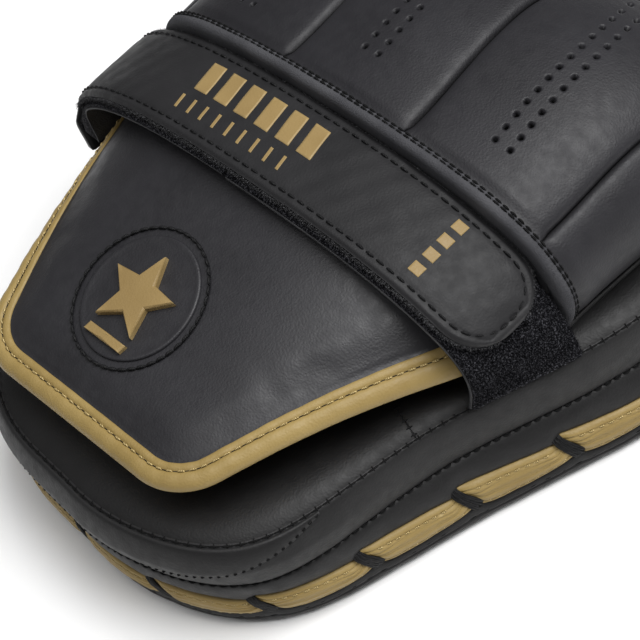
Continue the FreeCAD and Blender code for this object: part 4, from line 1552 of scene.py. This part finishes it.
def hood_grid(node, ys, columns, outside=True):
    """Points, upright normals and places along the sections, on the outer or inner face of a hood layer."""
    tree = tree_of(node)
    known_y = np.arange(ys[0], ys[-1] + 0.1 * MM, 3 * MM)
    known_y[-1] = ys[-1]
    points, alongs, distances, stations = [], [], [], []
    for y in known_y:
        section = hood_section(tree, y, outside)
        ends = section_stations(section, y)
        where, distance = column_lengths(ends, columns)
        points.append(at_lengths(section, where))
        alongs.append(where)
        distances.append(distance)
        stations.append(ends)

    def spread(table):
        table = np.array(table)
        flat = table.reshape(len(known_y), -1)
        full = np.stack([np.interp(ys, known_y, flat[:, k]) for k in range(flat.shape[1])], axis=1)
        return full.reshape(len(ys), *table.shape[1:])

    plane = spread(smoothed(np.array(points), 4))
    y = np.broadcast_to(np.asarray(ys)[:, None], plane.shape[:2])
    grid = np.stack([plane[:, :, 0], y, plane[:, :, 1]], axis=2)
    normal = grid_normals(grid)
    return grid, normal, spread(alongs), spread(distances), spread(stations)


def seam_distance(along, stations):
    """Distance of each point from the nearest seam between the hood's panels."""
    return np.min(np.abs(along[:, :, None] - stations[:, None, 1:-1]), axis=2)


def hood_relief(ys, along, stations, columns):
    """Puffed channels between pressed seams, with soft folds beside them."""
    y = np.asarray(ys)[:, None]
    panel = np.array([column[0] for column in columns])
    low, high = stations[:, panel], stations[:, panel + 1]
    share = np.clip((along - low) / np.maximum(high - low, 1e-6), 0, 1)
    inner = (panel > 0) & (panel <= CHANNELS)
    puff = np.where(inner, 1.6 * np.sin(math.pi * share) ** 0.7, 0.9 * np.sin(math.pi * share))
    seam = seam_distance(along, stations)
    crease = 1.1 * bell(seam, 0.8 * MM) + 0.5 * bell(seam, 2.2 * MM)
    folds = 0.13 * bell(seam - 6 * MM, 5 * MM) * np.sin(y * 260 + 3 * np.sin(y * 90 + panel) + along * 120)
    slack = 0.22 * np.sin(along * 70 + y * 50) * np.sin(y * 85 + panel)
    hem = smooth((y - HOOD_LOW[1] - 3 * MM) / (4 * MM))
    base = smooth(np.minimum(along, stations[:, -1:] - along) / (6 * MM))
    return (puff - crease + folds + slack) * MM * hem * base


def hood_holes(ys, distance, columns):
    """Depth share, 0 to 1, of the round holes in each channel."""
    y = np.asarray(ys)[:, None]
    panel = np.array([column[0] for column in columns])
    depth = np.zeros((len(ys), len(columns)))
    for channel in range(CHANNELS):
        rows = np.arange(HOLE_ROWS_START[channel], HOLE_ROWS_END, HOLE_PITCH)
        near = rows[np.argmin(np.abs(y - rows[None, :]), axis=1)][:, None]
        for side in (-1, 1):
            middle = HOLE_SHIFT[channel] + HOLE_DRIFT * (y - HOLE_ROWS_START[channel]) + side * HOLE_SPREAD
            away = np.hypot(distance - middle, y - near)
            hole = 1 - smooth((away - HOLE_RADIUS * 0.72) / (HOLE_RADIUS * 0.45))
            depth = np.maximum(depth, hole * (panel == channel + 1))
    return depth


def shell_faces(rows, columns):
    """Faces of an open shell stored as outer rows and then inner rows, end to end."""
    faces = grid_faces(2 * rows, columns, wrap_rows=True)
    for r in range(rows - 1):
        mate = 2 * rows - 1 - r
        faces.append((r * columns, (r + 1) * columns, (mate - 1) * columns, mate * columns))
        faces.append(tuple(row * columns + columns - 1 for row in (mate, mate - 1, r + 1, r)))
    return faces


def hood_layer(name, outer, inner, material):
    return make_object(name, np.concatenate([outer, inner[::-1]]), shell_faces(*outer.shape[:2]), material)


def with_cap(grid, y_end, bulge):
    """Adds rows that close a hood layer at its finger end, bulged outward."""
    edge = grid[-1]
    centre = np.array([HOOD_MIDDLE, y_end, HOOD_BASE])
    rows = []
    for share in (0.985, 0.94, 0.86, 0.74, 0.58, 0.4, 0.2, 0.02):
        row = centre + (edge - centre) * share
        row[:, 1] = y_end + bulge * math.sqrt(1 - share * share)
        rows.append(row)
    return np.concatenate([grid, np.array(rows)])


def make_hood():
    ys = np.concatenate([np.arange(7.8, 18, 1.0), np.arange(18, 106, 0.45), np.arange(106, 113.4, 1.0)]) * MM
    columns = channel_columns(dense=True)
    grid, normal, along, distance, stations = hood_grid("hood_shell", ys, columns)
    holes = hood_holes(ys, distance, columns)
    relief = hood_relief(ys, along, stations, columns)
    face = grid + normal * (relief - holes * HOLE_DEPTH)[:, :, None]
    back = grid + normal * (relief * 0.6 - 1.9 * MM)[:, :, None]
    outer = with_cap(face, HOOD_HIGH[1] - 0.6 * MM, 1.6 * MM)
    inner = with_cap(back, HOOD_HIGH[1] - 2.4 * MM, 1.2 * MM)
    inner[:, :, 1] = np.maximum(inner[:, :, 1], ys[0])
    rows, count = outer.shape[:2]
    shell = hood_layer("hood_leather", outer, inner, HOOD_BLACK)
    # Painted shade mask: the holes and a narrow band along each pressed seam between the channels get
    # near-black colour and no specular in hood_leather.
    hole_and_seam_painted_shade = np.zeros((2 * rows, count), np.float32)
    groove = 0.9 * bell(seam_distance(along, stations), 0.55 * MM)
    hole_and_seam_painted_shade[:len(ys)] = np.maximum(np.clip(holes * 1.6 - 0.35, 0, 1), groove)
    layer = shell.data.attributes.new("hole_and_seam_painted_shade", "FLOAT", "POINT")
    layer.data.foreach_set("value", hole_and_seam_painted_shade.ravel())
    settle("pad", "hood_leather", shell, "hood_shell", fill=0.5)
    make_hood_lining()
    make_hem()
    make_hood_welt(grid)


def make_hood_lining():
    low, high = box_of("hood_lining")
    ys = np.arange(low[1] + 0.6 * MM, high[1] - 1.6 * MM, 1.6 * MM)
    columns = channel_columns(dense=False)
    grid, normal, along, _, stations = hood_grid("hood_lining", ys, columns, outside=False)
    relief = hood_relief(ys, along, stations, columns)
    inner = with_cap(grid - normal * (relief * 0.45)[:, :, None], high[1] - 1.8 * MM, 0.6 * MM)
    outer = with_cap(grid - normal * (relief * 0.45 - 0.9 * MM)[:, :, None], high[1] - 0.9 * MM, 0.6 * MM)
    lining = hood_layer("hood_lining_cloth", outer, inner, LINING)
    settle("pad", "lining_fabric", lining, "hood_lining", fill=0.4)


# Closed section of the hood's hem tape: distance back from the hem, and height over the hood (mm)
HEM_SECTION = (
    (4.2, -0.6), (4.2, 0.3), (4.0, 0.62), (3.7, 0.7), (3.4, 0.55), (3.2, 0.2), (3.0, 0.55), (2.7, 0.8),
    (2.2, 0.9), (1.7, 0.85), (1.2, 0.65), (0.8, 0.35), (0.4, -0.1), (0.1, -0.8), (0.0, -1.6), (0.0, -3.0),
    (0.0, -4.6), (0.15, -5.8), (0.6, -6.8), (1.4, -7.5), (2.2, -7.9), (3.0, -8.0), (3.6, -7.8), (3.8, -7.2),
    (3.9, -4.0),
)
# Closed section of the second tape inside the hem: distance back from the hem, and share of its depth
FACING_SECTION = (
    (0.9, 0.0), (0.5, 0.3), (0.45, 0.7), (0.6, 0.95), (1.2, 1.0), (1.9, 0.95), (2.0, 0.5), (2.0, 0.0),
)
# Section of the hood's foot welt: distance out from the hood's foot, and rise (mm)
WELT_SECTION = (
    (-2.4, 0.0), (-2.4, 1.2), (-0.6, 1.3), (0.2, 1.1), (0.9, 0.75), (1.6, 1.0), (2.4, 1.35), (3.1, 1.2),
    (3.5, 0.6), (3.4, 0.0),
)
RIB_PITCH = 1.25                # stations of the hem's line to half a rib
HEM_STITCH = (3.2, 0.45)
HEM_OUTER_STITCH = (4.1, 0.6)


def make_hem():
    low = box_of("hood_hem_binding")[0]
    section = hood_section(tree_of("hood_shell"), HOOD_LOW[1] + 3 * MM)
    total = lengths(section)[-1]
    line = smoothed(at_lengths(section, np.linspace(0, total, int(total / (0.36 * MM)))), 8)
    tangent = unit(np.gradient(line, axis=0))
    normal = np.stack([-tangent[:, 1], tangent[:, 0]], axis=1)
    count = len(line)
    rib = np.sin(np.arange(count) * math.pi / RIB_PITCH)

    def place(back, rise):
        rise = np.broadcast_to(rise, (count,))
        x, z = (line + normal * rise[:, None]).T
        return np.column_stack([x, np.full(count, low[1] + back), np.maximum(z, HOOD_BASE)])

    rows = []
    for back, rise in HEM_SECTION:
        ribs = 0.14 * rib if rise > -6 and back < 3.1 else 0.0 * rib
        slack = 0.12 * np.sin(np.arange(count) * 0.03) + 0.08 * np.sin(np.arange(count) * 0.11)
        rows.append(place(back * MM, (rise + ribs + slack) * MM))
    hem = make_object("hood_hem_tape", rows, swept_faces(len(rows), count), RIBBED)
    settle("pad", "ribbed_binding", hem, "hood_hem_binding")
    up = np.column_stack([normal[:, 0], np.zeros(count), normal[:, 1]])
    for name, (back, rise) in (("hem_stitches", HEM_STITCH), ("hem_stitches_outer", HEM_OUTER_STITCH)):
        row = stitch_row(name, place(back * MM, rise * MM), up, 3.0 * MM, 2.5 * MM, 0.34 * MM, SEAM_THREAD)
        settle("pad", "black_thread", row)
    make_hem_facing(line, normal, low[1])


def make_hem_facing(line, normal, start):
    """Second tape inside the hem, deeper on the thumb side."""
    count = len(line)
    share = smooth((line[:, 0] - 30 * MM) / (35 * MM))
    depth = 7.6 + 3.2 * share
    rib = 0.12 * np.sin(np.arange(count) * math.pi / RIB_PITCH)
    rows = []
    for back, level in FACING_SECTION:
        rise = -(6.4 + (depth - 6.4) * level) * MM
        flat = line + normal * rise[:, None]
        y = start + (back + rib * (back < 0.7)) * MM
        rows.append(np.column_stack([flat[:, 0], y, np.maximum(flat[:, 1], HOOD_BASE + 0.3 * MM)]))
    facing = make_object("hem_facing_tape", rows, swept_faces(len(rows), count), RIBBED)
    settle("pad", "ribbed_binding", facing)


def make_hood_welt(grid):
    """Piped flange that joins the hood's foot to the back panel, with a dashed seam."""
    left, right, end = grid[:, 0], grid[:, -1], grid[-1]
    count = 900
    outline = np.concatenate([right, end[::-1][1:-1], left[::-1]])[:, :2]
    outline = smoothed(at_lengths(outline, np.linspace(0, lengths(outline)[-1], count)), 140)
    tangent = unit(np.gradient(outline, axis=0))
    outward = np.stack([tangent[:, 1], -tangent[:, 0]], axis=1)
    z = HOOD_BASE - 0.2 * MM
    rows = [np.column_stack([outline + outward * out * MM, np.full(count, z + rise * MM)])
            for out, rise in WELT_SECTION]
    faces = [face[::-1] for face in swept_faces(len(rows), count)]
    welt = make_object("hood_foot_welt", rows, faces, BLACK)
    path = np.column_stack([outline + outward * 0.9 * MM, np.full(count, z + 0.8 * MM)])
    up = np.tile([0.0, 0.0, 1.0], (count, 1))
    row = stitch_row("hood_foot_stitches", path, up, 3.2 * MM, 2.3 * MM, 0.24 * MM, THREAD)
    for piece in (welt, row):
        settle("pad", "black_leather", piece)


# ------------------------------------------------------------------ inside the hood
def make_inside():
    for name, node, fill in (("palm_cushion_pad", "palm_cushion", 0.7), ("grip_ball_pad", "grip_ball", 0.9)):
        piece = puffed(name, (node,), LINING, 4.0 * MM, 0.8 * MM, 1.4 * MM)
        settle("pad", "lining_fabric", piece, node, fill=fill)
    make_hand_lining()
    for node in ("impact_foam", "core_foam", "rear_foam", "hood_padding"):
        dress(node, FOAM)
    dress("stiffener_sheet", STIFFENER)


def dress(node, material):
    """Gives a carried-over CAD node a finished surface."""
    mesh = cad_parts[node].data
    mesh.materials.clear()
    mesh.materials.append(material)


LINING_SIDES = 360
QUILT_PITCH = 17 * MM


def make_hand_lining():
    """Quilted cloth that the back of the hand slides over."""
    low, high = box_of("hand_lining")
    tree = tree_of("hand_lining")
    centre = (low + high)[:2] / 2
    turn = circle(LINING_SIDES)
    edge = np.array([reach_over(tree, centre, angle, 0.02, 0.15, 16) for angle in turn])
    rings = []
    for share in np.concatenate([np.linspace(0.01, 0.97, 70), [0.985, 0.996, 1.0]]):
        x, y = centre[0] + edge * share * np.cos(turn), centre[1] + edge * share * np.sin(turn)
        quilt = np.minimum(*(np.abs(np.sin(v * math.pi / QUILT_PITCH)) for v in (x + y, x - y)))
        rise = 1.1 * MM * (0.35 + 0.65 * quilt**0.6) * (1 - smooth((share - 0.955) / 0.045))
        rings.append(np.column_stack([x, y, low[2] + 0.45 * MM + rise]))
    base = np.full(LINING_SIDES, low[2] + 0.1 * MM)
    rings += [np.column_stack([ring[:, :2], base]) for ring in (rings[-1], rings[0])]
    faces = [face[::-1] for face in ring_faces(len(rings), LINING_SIDES)]
    quilted = make_object("hand_lining_cloth", rings, faces, LINING)
    settle("pad", "lining_fabric", quilted, "hand_lining", fill=0.3)


# ------------------------------------------------------------------ stage
FLOOR_HALF = 4.0
FLOOR_GAP = 0.6 * MM            # keeps the floor clear of the pad's lowest stitches
WORLD_STRENGTH = 0.19
LIGHT_SIZE = 1.3
# Lamps: place (m) and power (W)
LAMPS = {"key": ((0.55, 0.5, 1.55), 38.0), "top": ((0.05, -0.45, 1.7), 7.5)}
LAMP_TARGET = Vector((0, 0, 0.04))


def look_point():
    low, high = (np.array(corner) for corner in CAD_BOX)
    return low + (high - low) * CAMERA_AIM_SHARE


def make_camera():
    back = Vector((math.sin(CAMERA_AZIMUTH) * math.cos(CAMERA_ELEVATION),
                   -math.cos(CAMERA_AZIMUTH) * math.cos(CAMERA_ELEVATION), math.sin(CAMERA_ELEVATION)))
    camera = bpy.data.objects.new("camera", bpy.data.cameras.new("camera"))
    camera.data.lens = CAMERA_LENS
    camera.data.sensor_width = CAMERA_SENSOR
    camera.data.clip_end = 20.0
    camera.location = Vector(look_point()) + back * CAMERA_DISTANCE
    turn = (-back).to_track_quat("-Z", "Y").to_matrix() @ Matrix.Rotation(CAMERA_ROLL, 3, "Z")
    camera.rotation_euler = turn.to_euler()
    bpy.context.scene.collection.objects.link(camera)
    bpy.context.scene.camera = camera


def area_light(name, place, energy):
    light = bpy.data.lights.new(name, "AREA")
    light.size = LIGHT_SIZE
    light.energy = energy
    holder = bpy.data.objects.new(name, light)
    holder.location = place
    holder.rotation_euler = (LAMP_TARGET - Vector(place)).to_track_quat("-Z", "Y").to_euler()
    bpy.context.scene.collection.objects.link(holder)


def make_stage():
    corners = [(x * FLOOR_HALF, y * FLOOR_HALF, 0) for x, y in ((-1, -1), (1, -1), (1, 1), (-1, 1))]
    floor = make_object("floor", corners, [(0, 1, 2, 3)], floor_paint())
    floor.location.z = -FLOOR_GAP
    world = bpy.data.worlds.new("studio")
    bpy.context.scene.world = world
    world.use_nodes = True
    light = world.node_tree.nodes["Background"].inputs
    light["Color"].default_value = (1, 1, 1, 1)
    light["Strength"].default_value = WORLD_STRENGTH
    bpy.context.scene.view_settings.view_transform = "Standard"
    for name, (place, energy) in LAMPS.items():
        area_light(name, place, energy)


def floor_paint():
    n = Nodes("floor_paint")
    mottle = n.noise(3.0, 2.0)
    colour = n.mixed(mottle, (0.93, 0.93, 0.93), (0.96, 0.96, 0.96))
    return n.finish(colour, n.ranged(mottle, 0.6, 0.7), n.bump(mottle, 0.0001, 0.1))


make_stage()
make_camera()
make_wall()
make_lacing()
make_rim_stitching()
make_wrist_panel()
make_back_panel()
make_strike_face()
make_panel_seams()
make_cuff()
make_hood()
make_inside()
make_main_strap()
make_loop_strap()
